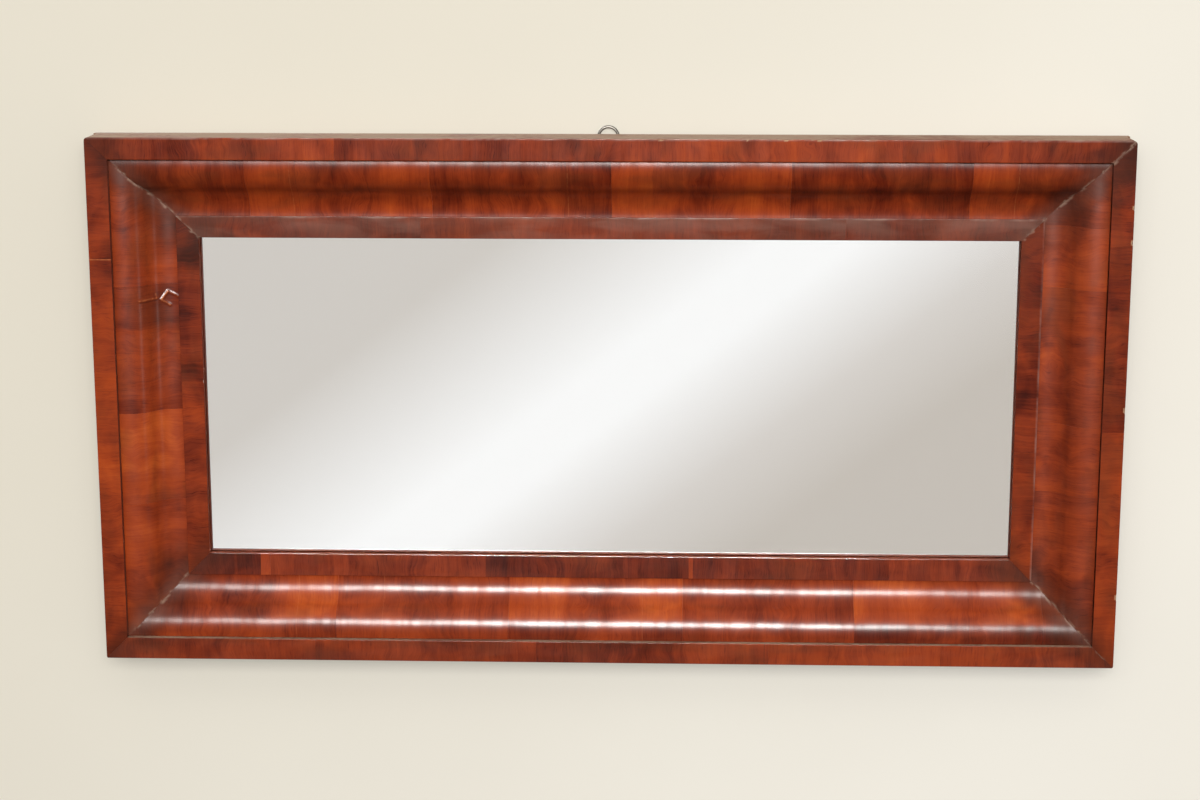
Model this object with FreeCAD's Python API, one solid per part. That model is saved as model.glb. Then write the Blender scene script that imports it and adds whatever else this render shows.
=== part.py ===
import FreeCAD, Part
import math
import os

# Overmantel mirror with an ogee frame, veneered over pine. Lengths are in millimetres.
# X runs to the viewer's right, Z up and Y into the wall. The back of the backboards is the plane Y = 0,
# and the origin is the middle of the frame on that plane.

# Frame outline, seen from the front
frame_width = 1050.0
frame_height = 546.0

# Face of each member, from the outer edge in
band_width = 22.5
ogee_width = 60.5
sight_width = 22.5

# Build-up of each member, from the wall out
board_thickness = 7.0
base_thickness = 10.0
lip_thickness = 7.7
sight_fall = 2.3
sight_step = 2.0
ogee_rise = 27.5
band_step = 6.5

# The ogee turns over a little at its outer edge and lifts a little at its inner edge
ogee_roll_angle = math.radians(15)
ogee_lift_angle = math.radians(8)

# Veneer: leaves of one thickness, on a film of glue
veneer_thickness = 1.0
glue_film = 0.1

# Seams between the leaves, as shares of the member's outer length, from the left or from the top
top_band_seam_shares = (0.240, 0.407, 0.552, 0.780)
top_ogee_seam_shares = (0.152, 0.330, 0.504, 0.676, 0.848)
top_sight_seam_shares = (0.318, 0.524, 0.730)
bottom_band_seam_shares = (0.210, 0.430, 0.660, 0.830)
bottom_ogee_seam_shares = (0.230, 0.402, 0.575, 0.745, 0.931)
bottom_sight_seam_shares = (0.152, 0.162, 0.378, 0.581, 0.585, 0.780)
left_band_seam_shares = (0.225, 0.477)
left_ogee_seam_shares = (0.280, 0.522, 0.698)
left_sight_seam_shares = (0.337,)
right_band_seam_shares = (0.195, 0.542)
right_ogee_seam_shares = (0.162, 0.279, 0.536, 0.670)
right_sight_seam_shares = (0.595,)

# Mitre feathers in the base
feather_leg = 50.0
feather_thickness = 2.5

# Glass and its rabbet
rabbet_width = 12.0
glass_thickness = 3.2
glass_play = 1.5
silvering_thickness = 0.2
silvering_margin = 1.0

# Blocks that hold the glass
block_length = 38.0
block_width = 8.0
block_play = 0.6
long_member_block_count = 5
short_member_block_count = 2

# Backboards: two boards side by side, with their back edges chamfered
board_lap = 18.0
board_gap = 0.8
board_chamfer = 3.0
upper_board_share = 0.45

# Cut nails through the backboards
nail_head_width = 4.0
nail_head_height = 3.0
nail_head_thickness = 1.2
nail_shank_width = 2.4
nail_tip_width = 1.2
nail_bite_share = 0.8
nail_inset_share = 0.5
nail_end_margin = 40.0
long_edge_nail_count = 7
nail_end_shares = (0.22, 0.78)

# Hanger on the back of the top rail
strap_thickness = 1.5
strap_width = 11.0
strap_length = 48.0
hanger_drop = 13.0
ring_wire_radius = 1.5
ring_half_width = 10.0
ring_corner_radius = 4.0
ring_height = 20.0
knuckle_clearance = 0.05
screw_shank_radius = 1.4
screw_head_radius = 3.2
screw_head_height = 1.8
screw_length = 14.0
screw_tip_length = 3.0
screw_slot_width = 0.8
screw_slot_depth = 0.9
screw_hole_clearance = 0.2
screw_place_shares = (0.26, 0.76)

# Every cut runs this far past what it cuts
overrun = 1.0

# Depths out from the wall
base_back = board_thickness
base_front = base_back + base_thickness
sight_edge_face = base_front + lip_thickness
sight_band_face = sight_edge_face + sight_fall
ogee_inner_face = sight_band_face - sight_step
ogee_outer_face = ogee_inner_face + ogee_rise
band_face = ogee_outer_face + band_step
veneer_bed = veneer_thickness + glue_film
glass_front = base_front
glass_back = glass_front - glass_thickness
silvering_back = glass_back - silvering_thickness

# Distances in from the frame's outer edge
ogee_start = band_width
ogee_end = ogee_start + ogee_width
sight_edge = ogee_end + sight_width
rabbet_wall = sight_edge - rabbet_width
board_edge = rabbet_wall - board_lap

# The ogee is two arcs of one radius that meet with the same slope
lift_sum = math.sin(ogee_roll_angle) + math.sin(ogee_lift_angle)
level_sum = math.cos(ogee_roll_angle) + math.cos(ogee_lift_angle)
ogee_chord = math.hypot(ogee_width, ogee_rise)
ogee_swing = math.acos((ogee_width * level_sum - ogee_rise * lift_sum) / (2 * ogee_chord))
ogee_slope = math.atan2(ogee_rise, ogee_width) + ogee_swing
ogee_radius = ogee_width / (lift_sum + 2 * math.sin(ogee_slope))
convex_across = ogee_start + ogee_radius * math.sin(ogee_roll_angle)
convex_depth = ogee_outer_face - ogee_radius * math.cos(ogee_roll_angle)
concave_across = ogee_end - ogee_radius * math.sin(ogee_lift_angle)
concave_depth = ogee_inner_face + ogee_radius * math.cos(ogee_lift_angle)

# Hanger levels
knuckle_radius = ring_wire_radius + knuckle_clearance + strap_thickness
knuckle_depth = base_back - knuckle_radius
knuckle_height = frame_height / 2 - hanger_drop
strap_face = base_back - strap_thickness

# Each member: its outer length, how far it is turned from the bottom member, and where its outer edge lies
MEMBERS = {
    "top": (frame_width, 180, FreeCAD.Vector(0, 0, frame_height / 2)),
    "bottom": (frame_width, 0, FreeCAD.Vector(0, 0, -frame_height / 2)),
    "left": (frame_height, 90, FreeCAD.Vector(-frame_width / 2, 0, 0)),
    "right": (frame_height, -90, FreeCAD.Vector(frame_width / 2, 0, 0)),
}

# The top member's stations run to the left and the right member's upwards, against the order of their seams
REVERSED_MEMBERS = ("top", "right")

SEAM_SHARES = {
    "top": (top_band_seam_shares, top_ogee_seam_shares, top_sight_seam_shares),
    "bottom": (bottom_band_seam_shares, bottom_ogee_seam_shares, bottom_sight_seam_shares),
    "left": (left_band_seam_shares, left_ogee_seam_shares, left_sight_seam_shares),
    "right": (right_band_seam_shares, right_ogee_seam_shares, right_sight_seam_shares),
}


def local(station, across, depth):
    """Point on the bottom member: along it, in from its outer edge and out from the wall."""
    return FreeCAD.Vector(station, -depth, across)


def placed(shape, member):
    """The shape of a bottom member, turned and moved to be that of the named member."""
    _, angle, edge = MEMBERS[member]
    turned = shape.copy()
    turned.rotate(FreeCAD.Vector(0, 0, 0), FreeCAD.Vector(0, 1, 0), angle)
    turned.translate(edge)
    return turned


def polygon_face(points):
    """Flat face with straight sides through the points."""
    return Part.Face(Part.makePolygon(points + points[:1]))


def section_prism(corners, start, end):
    """Straight-sided section, given as across and depth pairs, run from one station to another."""
    face = polygon_face([local(start, across, depth) for across, depth in corners])
    return face.extrude(FreeCAD.Vector(end - start, 0, 0))


def mitred(shape, length):
    """The shape cut at both ends on the mitre, 45 degrees in from the member's outer corners."""
    half = length / 2
    corners = [
        local(-half, 0, 0),
        local(half, 0, 0),
        local(half - sight_edge, sight_edge, 0),
        local(sight_edge - half, sight_edge, 0),
    ]
    wedge = polygon_face(corners).extrude(FreeCAD.Vector(0, -band_face - overrun, 0))
    return shape.common(wedge)


def member_strip(member, corners):
    """Straight-sided strip that runs the whole length of a member between its mitres."""
    length = MEMBERS[member][0]
    return placed(mitred(section_prism(corners, -length / 2, length / 2), length), member)


def convex_point(station, radius, heading):
    """Point on the ogee's convex arc where the curve heads up by the given angle."""
    across = convex_across - radius * math.sin(heading)
    return local(station, across, convex_depth + radius * math.cos(heading))


def concave_point(station, radius, heading):
    """Point on the ogee's concave arc where the curve heads up by the given angle."""
    across = concave_across + radius * math.sin(heading)
    return local(station, across, concave_depth - radius * math.cos(heading))


def ogee_arcs(station, sunk):
    """The ogee's two arcs, from its outer to its inner edge, sunk this far below the veneer's face."""
    convex = ogee_radius - sunk
    concave = ogee_radius + sunk
    roll = math.asin((convex_across - ogee_start) / convex)
    lift = math.asin((ogee_end - concave_across) / concave)
    first = [convex_point(station, convex, a) for a in (roll, (roll - ogee_slope) / 2, -ogee_slope)]
    second = [concave_point(station, concave, a) for a in (-ogee_slope, (lift - ogee_slope) / 2, lift)]
    return Part.Arc(*first).toShape(), Part.Arc(*second).toShape()


def closed_prism(edges, start, end):
    """Section bounded by the edges, which lie at the start station, run to the end station."""
    face = Part.Face(Part.Wire(Part.__sortEdges__(edges)))
    return face.extrude(FreeCAD.Vector(end - start, 0, 0))


def arc_ends(arcs):
    """First and last point of a chain of two arcs."""
    return arcs[0].Vertexes[0].Point, arcs[1].Vertexes[-1].Point


def ogee_core(member):
    """Pine core under the ogee veneer."""
    length = MEMBERS[member][0]
    start = -length / 2
    arcs = ogee_arcs(start, veneer_bed)
    outer, inner = arc_ends(arcs)
    outer_foot = local(start, ogee_start, base_front)
    inner_foot = local(start, ogee_end, base_front)
    corners = [inner, inner_foot, outer_foot, outer]
    sides = [Part.makeLine(a, b) for a, b in zip(corners, corners[1:])]
    return placed(mitred(closed_prism(list(arcs) + sides, start, length / 2), length), member)


def ogee_leaf(start, end):
    """One leaf of ogee veneer between two stations."""
    face_arcs = ogee_arcs(start, 0)
    back_arcs = ogee_arcs(start, veneer_thickness)
    face_outer, face_inner = arc_ends(face_arcs)
    back_outer, back_inner = arc_ends(back_arcs)
    ends = [Part.makeLine(face_inner, back_inner), Part.makeLine(face_outer, back_outer)]
    return closed_prism(list(face_arcs) + list(back_arcs) + ends, start, end)


def leaf_stations(member, shares):
    """Stations where the leaves of a member begin and end, in order along its length."""
    length = MEMBERS[member][0]
    if member in REVERSED_MEMBERS:
        shares = [1 - share for share in reversed(shares)]
    return [(share - 1 / 2) * length for share in (0, *shares, 1)]


def veneer_leaves(member, shares, leaf):
    """All the leaves of one veneer on one member, as separate solids in one group."""
    length = MEMBERS[member][0]
    stations = leaf_stations(member, shares)
    leaves = [mitred(leaf(a, b), length) for a, b in zip(stations, stations[1:])]
    return placed(Part.makeCompound([solid for shape in leaves for solid in shape.Solids]), member)


def band_leaf(start, end):
    """One leaf of outer band veneer between two stations."""
    back = band_face - veneer_thickness
    return section_prism([(0, back), (band_width, back), (band_width, band_face), (0, band_face)], start, end)


def sight_leaf(start, end):
    """One leaf of sight band veneer between two stations."""
    corners = [
        (ogee_end, sight_band_face - veneer_thickness),
        (sight_edge, sight_edge_face - veneer_thickness),
        (sight_edge, sight_edge_face),
        (ogee_end, sight_band_face),
    ]
    return section_prism(corners, start, end)


def base_rail(member):
    """Flat board that the rest of the member is glued to."""
    corners = [(0, base_back), (rabbet_wall, base_back), (rabbet_wall, base_front), (0, base_front)]
    return member_strip(member, corners)


def outer_fillet(member):
    """Upright strip along the outer edge, under the outer band."""
    top = band_face - veneer_bed
    return member_strip(member, [(0, base_front), (band_width, base_front), (band_width, top), (0, top)])


def sight_fillet(member):
    """Strip under the sight band, which overhangs the rabbet and holds the glass from the front."""
    corners = [
        (ogee_end, base_front),
        (sight_edge, base_front),
        (sight_edge, sight_edge_face - veneer_bed),
        (ogee_end, sight_band_face - veneer_bed),
    ]
    return member_strip(member, corners)


def feather(right, up):
    """Triangular key across one corner of the base, in the middle of its thickness."""
    depth = base_back + (base_thickness - feather_thickness) / 2
    corner_x = right * frame_width / 2
    corner_z = up * frame_height / 2
    corners = [
        FreeCAD.Vector(corner_x, -depth, corner_z),
        FreeCAD.Vector(corner_x - right * feather_leg, -depth, corner_z),
        FreeCAD.Vector(corner_x, -depth, corner_z - up * feather_leg),
    ]
    return polygon_face(corners).extrude(FreeCAD.Vector(0, -feather_thickness, 0))


def plate(width, height, back, thickness):
    """Upright rectangular plate about the middle of the frame."""
    return Part.makeBox(width, thickness, height, FreeCAD.Vector(-width / 2, -back - thickness, -height / 2))


def glass_blocks():
    """Three-cornered blocks in the rabbet behind the plate, as separate solids in one group."""
    blocks = []
    corners = [
        (rabbet_wall, silvering_back),
        (rabbet_wall + block_width, silvering_back),
        (rabbet_wall, base_back + block_play),
    ]
    for member, (length, _, _) in MEMBERS.items():
        count = long_member_block_count if member in ("top", "bottom") else short_member_block_count
        clear_length = length - 2 * rabbet_wall
        for place in range(count):
            middle = clear_length * ((place + 1 / 2) / count - 1 / 2)
            block = section_prism(corners, middle - block_length / 2, middle + block_length / 2)
            blocks.append(placed(block, member))
    return Part.makeCompound(blocks)


def backboard(bottom, top):
    """One backboard, chamfered along its back edges where they are the outer edges of the back."""
    half_width = frame_width / 2 - board_edge
    half_height = frame_height / 2 - board_edge
    corner = FreeCAD.Vector(-half_width, -board_thickness, bottom)
    board = Part.makeBox(2 * half_width, board_thickness, top - bottom, corner)
    rims = []
    for edge in board.Edges:
        middle = edge.CenterOfMass
        at_back = middle.y > -board_thickness / 2 and edge.BoundBox.YLength < board_thickness / 2
        at_side = abs(middle.x) > half_width / 2
        at_rim = abs(middle.z) > half_height - board_gap
        if at_back and (at_side or at_rim):
            rims.append(edge)
    return board.makeChamfer(board_chamfer, rims)


def nail(x, z):
    """Cut nail driven towards the front, its head flush with the back of the board."""
    tip = -board_thickness - nail_bite_share * base_thickness
    head_x = x - nail_head_width / 2
    head_z = z - nail_head_height / 2
    head_corner = FreeCAD.Vector(head_x, -nail_head_thickness, head_z)
    head = Part.makeBox(nail_head_width, nail_head_thickness, nail_head_height, head_corner)
    half_shank = nail_shank_width / 2
    half_tip = nail_tip_width / 2
    shank = Part.makeWedge(
        x - half_tip, tip, z - half_tip, z - half_shank, x - half_shank,
        x + half_tip, -nail_head_thickness, z + half_tip, z + half_shank, x + half_shank,
    )
    return head.fuse(shank).removeSplitter()


def backboard_nails(boards):
    """Nails along the top and bottom edges of the back, and at the ends of each board."""
    half_width = frame_width / 2 - board_edge
    half_height = frame_height / 2 - board_edge
    inset = nail_inset_share * board_lap
    run = 2 * (half_width - nail_end_margin)
    nails = []
    for place in range(long_edge_nail_count):
        x = run * (place / (long_edge_nail_count - 1) - 1 / 2)
        nails += [nail(x, half_height - inset), nail(x, inset - half_height)]
    for bottom, top in boards:
        for share in nail_end_shares:
            z = bottom + share * (top - bottom)
            nails += [nail(half_width - inset, z), nail(inset - half_width, z)]
    return nails


def cylinder_y(radius, back, front, x, z):
    """Cylinder that runs out from the wall between two depths."""
    return Part.makeCylinder(radius, front - back, FreeCAD.Vector(x, -back, z), FreeCAD.Vector(0, -1, 0))


def screw_heights():
    """Heights of the hanger's screws, spaced along its strap."""
    return [knuckle_height - share * strap_length for share in screw_place_shares]


def hanger_strap():
    """Plate with a round lower end and, at its top, the knuckle that carries the ring."""
    round_height = knuckle_height - strap_length + strap_width / 2
    corner = FreeCAD.Vector(-strap_width / 2, -base_back, round_height)
    strap = Part.makeBox(strap_width, strap_thickness, knuckle_height - round_height, corner)
    round_end = cylinder_y(strap_width / 2, strap_face, base_back, 0, round_height)
    knuckle_end = FreeCAD.Vector(-strap_width / 2, -knuckle_depth, knuckle_height)
    knuckle = Part.makeCylinder(knuckle_radius, strap_width, knuckle_end, FreeCAD.Vector(1, 0, 0))
    bore_end = knuckle_end - FreeCAD.Vector(overrun, 0, 0)
    bore_radius = ring_wire_radius + knuckle_clearance
    bore = Part.makeCylinder(bore_radius, strap_width + 2 * overrun, bore_end, FreeCAD.Vector(1, 0, 0))
    hole_radius = screw_shank_radius + screw_hole_clearance
    hole_back = strap_face - overrun
    hole_front = base_back + overrun
    holes = [cylinder_y(hole_radius, hole_back, hole_front, 0, height) for height in screw_heights()]
    return strap.fuse([round_end, knuckle]).removeSplitter().cut([bore] + holes)


def ring_point(x, up):
    """Point on the middle line of the ring's wire, which stands up from the knuckle's axis."""
    return FreeCAD.Vector(x, -knuckle_depth, knuckle_height + up)


def hanger_ring():
    """Ring of round wire: a straight bar in the knuckle, two corners, two legs and a round bow."""
    bar = ring_half_width - ring_corner_radius
    bow = ring_height - ring_half_width
    bend = ring_corner_radius * (1 - math.cos(math.pi / 4))
    path = [
        Part.makeLine(ring_point(0, 0), ring_point(bar, 0)),
        Part.Arc(
            ring_point(bar, 0), ring_point(ring_half_width - bend, bend),
            ring_point(ring_half_width, ring_corner_radius),
        ).toShape(),
        Part.makeLine(ring_point(ring_half_width, ring_corner_radius), ring_point(ring_half_width, bow)),
        Part.Arc(
            ring_point(ring_half_width, bow), ring_point(0, ring_height), ring_point(-ring_half_width, bow),
        ).toShape(),
        Part.makeLine(ring_point(-ring_half_width, bow), ring_point(-ring_half_width, ring_corner_radius)),
        Part.Arc(
            ring_point(-ring_half_width, ring_corner_radius), ring_point(bend - ring_half_width, bend),
            ring_point(-bar, 0),
        ).toShape(),
        Part.makeLine(ring_point(-bar, 0), ring_point(0, 0)),
    ]
    wire_section = Part.Wire(Part.makeCircle(ring_wire_radius, ring_point(0, 0), FreeCAD.Vector(1, 0, 0)))
    return Part.Wire(path).makePipeShell([wire_section], True, False)


def hanger_screw(height):
    """Round-headed wood screw with a slot, driven towards the front through the strap."""
    tip_depth = strap_face + screw_length
    shank_end = tip_depth - screw_tip_length
    crown = FreeCAD.Vector(0, screw_head_height - strap_face, height)
    rim = FreeCAD.Vector(screw_head_radius, -strap_face, height)
    middle = FreeCAD.Vector(0, -strap_face, height)
    dome_radius = (screw_head_radius ** 2 + screw_head_height ** 2) / (2 * screw_head_height)
    half_angle = math.asin(screw_head_radius / dome_radius) / 2
    shoulder = FreeCAD.Vector(
        dome_radius * math.sin(half_angle),
        screw_head_height - strap_face - dome_radius * (1 - math.cos(half_angle)),
        height,
    )
    dome = Part.Arc(crown, shoulder, rim).toShape()
    half_section = Part.Wire([dome, Part.makeLine(rim, middle), Part.makeLine(middle, crown)])
    head = Part.Face(half_section).revolve(middle, FreeCAD.Vector(0, 1, 0), 360)
    shank = cylinder_y(screw_shank_radius, strap_face, shank_end, 0, height)
    tip_base = FreeCAD.Vector(0, -shank_end, height)
    tip = Part.makeCone(screw_shank_radius, 0, screw_tip_length, tip_base, FreeCAD.Vector(0, -1, 0))
    slot_corner = FreeCAD.Vector(
        -screw_head_radius - overrun,
        screw_head_height - strap_face - screw_slot_depth,
        height - screw_slot_width / 2,
    )
    slot_length = 2 * (screw_head_radius + overrun)
    slot = Part.makeBox(slot_length, screw_slot_depth + overrun, screw_slot_width, slot_corner)
    return head.fuse([shank, tip]).removeSplitter().cut(slot)


def build():
    """All the nodes of the mirror by name."""
    nodes = {}
    for member in MEMBERS:
        band_shares, ogee_shares, sight_shares = SEAM_SHARES[member]
        nodes[f"{member}_base_rail"] = base_rail(member)
        nodes[f"{member}_outer_fillet"] = outer_fillet(member)
        nodes[f"{member}_ogee_core"] = ogee_core(member)
        nodes[f"{member}_sight_fillet"] = sight_fillet(member)
        nodes[f"{member}_band_veneer"] = veneer_leaves(member, band_shares, band_leaf)
        nodes[f"{member}_ogee_veneer"] = veneer_leaves(member, ogee_shares, ogee_leaf)
        nodes[f"{member}_sight_veneer"] = veneer_leaves(member, sight_shares, sight_leaf)

    for up, level in ((1, "top"), (-1, "bottom")):
        for right, hand in ((-1, "left"), (1, "right")):
            key = feather(right, up)
            nodes[f"{level}_{hand}_mitre_feather"] = key
            for member in (level, hand):
                nodes[f"{member}_base_rail"] = nodes[f"{member}_base_rail"].cut(key)

    glass_inset = rabbet_wall + glass_play
    glass_width = frame_width - 2 * glass_inset
    glass_height = frame_height - 2 * glass_inset
    nodes["mirror_glass"] = plate(glass_width, glass_height, glass_back, glass_thickness)
    silvering_width = glass_width - 2 * silvering_margin
    silvering_height = glass_height - 2 * silvering_margin
    nodes["silvering"] = plate(silvering_width, silvering_height, silvering_back, silvering_thickness)
    nodes["glass_blocks"] = glass_blocks()

    back_top = frame_height / 2 - board_edge
    board_height = 2 * back_top - board_gap
    upper_bottom = back_top - upper_board_share * board_height
    boards = {"upper": (upper_bottom, back_top), "lower": (-back_top, upper_bottom - board_gap)}
    nails = backboard_nails(boards.values())
    for name, (bottom, top) in boards.items():
        nodes[f"{name}_backboard"] = backboard(bottom, top).cut(nails)
    for member in MEMBERS:
        nodes[f"{member}_base_rail"] = nodes[f"{member}_base_rail"].cut(nails)
    nodes["backboard_nails"] = Part.makeCompound(nails)

    screws = [hanger_screw(height) for height in screw_heights()]
    for node in ("top_base_rail", "top_ogee_core"):
        nodes[node] = nodes[node].cut(screws)
    nodes["hanger_strap"] = hanger_strap()
    nodes["hanger_ring"] = hanger_ring()
    nodes["hanger_screws"] = Part.makeCompound(screws)
    return nodes


os.makedirs("parts", exist_ok=True)
for name, shape in build().items():
    shape.exportStep(f"parts/{name}.step")
    print(f"{name}: {len(shape.Solids)} solids, {shape.Volume:.1f} cubic mm, valid {shape.isValid()}")
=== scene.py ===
"""Looks of the overmantel mirror: veneered ogee frame, plate glass, backboards and hanger, in metres."""

import bisect
import logging
import math
from collections.abc import Iterable, Sequence
from dataclasses import dataclass, field
from enum import Enum

import bmesh
import bpy
from bmesh.types import BMEdge, BMesh, BMVert
from bpy.types import Material, NodeOutputs, NodeSocket, Object
from mathutils import Matrix, Vector, noise


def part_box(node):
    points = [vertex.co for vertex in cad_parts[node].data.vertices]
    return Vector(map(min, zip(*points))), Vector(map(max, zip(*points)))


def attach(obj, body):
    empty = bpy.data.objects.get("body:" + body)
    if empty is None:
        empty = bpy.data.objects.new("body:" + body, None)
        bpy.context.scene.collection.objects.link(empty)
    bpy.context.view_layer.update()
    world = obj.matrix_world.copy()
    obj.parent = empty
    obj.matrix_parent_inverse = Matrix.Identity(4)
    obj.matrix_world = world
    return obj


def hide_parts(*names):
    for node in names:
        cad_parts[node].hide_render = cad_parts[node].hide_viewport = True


LOG = logging.getLogger("overmantel_mirror")
MM = 0.001
Colour = tuple[float, float, float, float]
Point = tuple[float, float]
Spot = tuple[float, float, float]
Tones = tuple[float, float, float]
Stretch = tuple[float, float, float]

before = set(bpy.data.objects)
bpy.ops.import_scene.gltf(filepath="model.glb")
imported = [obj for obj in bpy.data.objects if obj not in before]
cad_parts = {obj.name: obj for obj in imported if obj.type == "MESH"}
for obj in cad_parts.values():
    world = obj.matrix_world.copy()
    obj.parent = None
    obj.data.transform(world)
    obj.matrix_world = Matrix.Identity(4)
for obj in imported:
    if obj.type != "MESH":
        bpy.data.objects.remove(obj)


def srgb(red: float, green: float, blue: float) -> Colour:
    """Linear colour of a screen colour.

    Args:
        red: Red part, from 0 to 255.
        green: Green part, from 0 to 255.
        blue: Blue part, from 0 to 255.

    Returns:
        The linear colour with full alpha.
    """
    shares = [part / 255 for part in (red, green, blue)]
    linear = [s / 12.92 if s <= 0.04045 else ((s + 0.055) / 1.055) ** 2.4 for s in shares]
    return (linear[0], linear[1], linear[2], 1.0)


def smooth(value: float, start: float, end: float) -> float:
    """Smooth step from 0 at the start to 1 at the end, which may lie below the start."""
    share = min(1.0, max(0.0, (value - start) / (end - start)))
    return share * share * (3 - 2 * share)


class Side(Enum):
    """The four members of the frame."""

    TOP = "top"
    BOTTOM = "bottom"
    LEFT = "left"
    RIGHT = "right"


class Face(Enum):
    """The three veneered faces of a member, from the outer edge in."""

    BAND = "band"
    OGEE = "ogee"
    SIGHT = "sight"


@dataclass(frozen=True)
class Moulding:
    """Sizes of the frame and of the section that all four members share."""

    width: float = 1050 * MM
    height: float = 546 * MM
    ogee_start: float = 22.5 * MM
    ogee_end: float = 83 * MM
    sight_edge: float = 105.5 * MM
    base_front: float = 17 * MM
    sight_edge_face: float = 24.7 * MM
    sight_band_face: float = 27 * MM
    ogee_inner_face: float = 25 * MM
    ogee_outer_face: float = 52.5 * MM
    band_face: float = 59 * MM
    roll: float = math.radians(15)
    lift: float = math.radians(8)
    veneer: float = 1 * MM
    glue: float = 0.1 * MM

    def length(self, side: Side) -> float:
        """Outer length of a member."""
        return self.width if side in (Side.TOP, Side.BOTTOM) else self.height

    def flat(self, face: Face, sunk: float = 0.0) -> tuple[Point, Point]:
        """Edges of an outer or sight band's face.

        Args:
            face: The band.
            sunk: How far below the face they are taken.

        Returns:
            The outer and the inner edge, each as distance in from the outer edge and depth out from the wall.
        """
        if face is Face.BAND:
            return (0.0, self.band_face - sunk), (self.ogee_start, self.band_face - sunk)
        return (self.ogee_end, self.sight_band_face - sunk), (self.sight_edge, self.sight_edge_face - sunk)

    def slope(self) -> float:
        """Steepest slope of the ogee, where its two arcs meet.

        Returns:
            The slope, in radians.
        """
        across = self.ogee_end - self.ogee_start
        rise = self.ogee_outer_face - self.ogee_inner_face
        lifts = math.sin(self.roll) + math.sin(self.lift)
        levels = math.cos(self.roll) + math.cos(self.lift)
        swing = math.acos((across * levels - rise * lifts) / (2 * math.hypot(across, rise)))
        return math.atan2(rise, across) + swing

    def radius(self) -> float:
        """Radius of both arcs of the ogee."""
        lifts = math.sin(self.roll) + math.sin(self.lift)
        return (self.ogee_end - self.ogee_start) / (lifts + 2 * math.sin(self.slope()))

    def placing(self, side: Side) -> Matrix:
        """Matrix from a member's own frame to the mirror's.

        Args:
            side: The member.

        Returns:
            A matrix for points given as distance along from the left or the top, depth out from the
            wall, and distance in from the outer edge.
        """
        half_width, half_height = self.width / 2, self.height / 2
        rows = {
            Side.TOP: ((1, 0, 0, -half_width), (0, -1, 0, 0), (0, 0, -1, half_height)),
            Side.BOTTOM: ((1, 0, 0, -half_width), (0, -1, 0, 0), (0, 0, 1, -half_height)),
            Side.LEFT: ((0, 0, 1, -half_width), (0, -1, 0, 0), (-1, 0, 0, half_height)),
            Side.RIGHT: ((0, 0, -1, half_width), (0, -1, 0, 0), (-1, 0, 0, half_height)),
        }
        return Matrix((*rows[side], (0, 0, 0, 1)))


MOULDING = Moulding()


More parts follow.
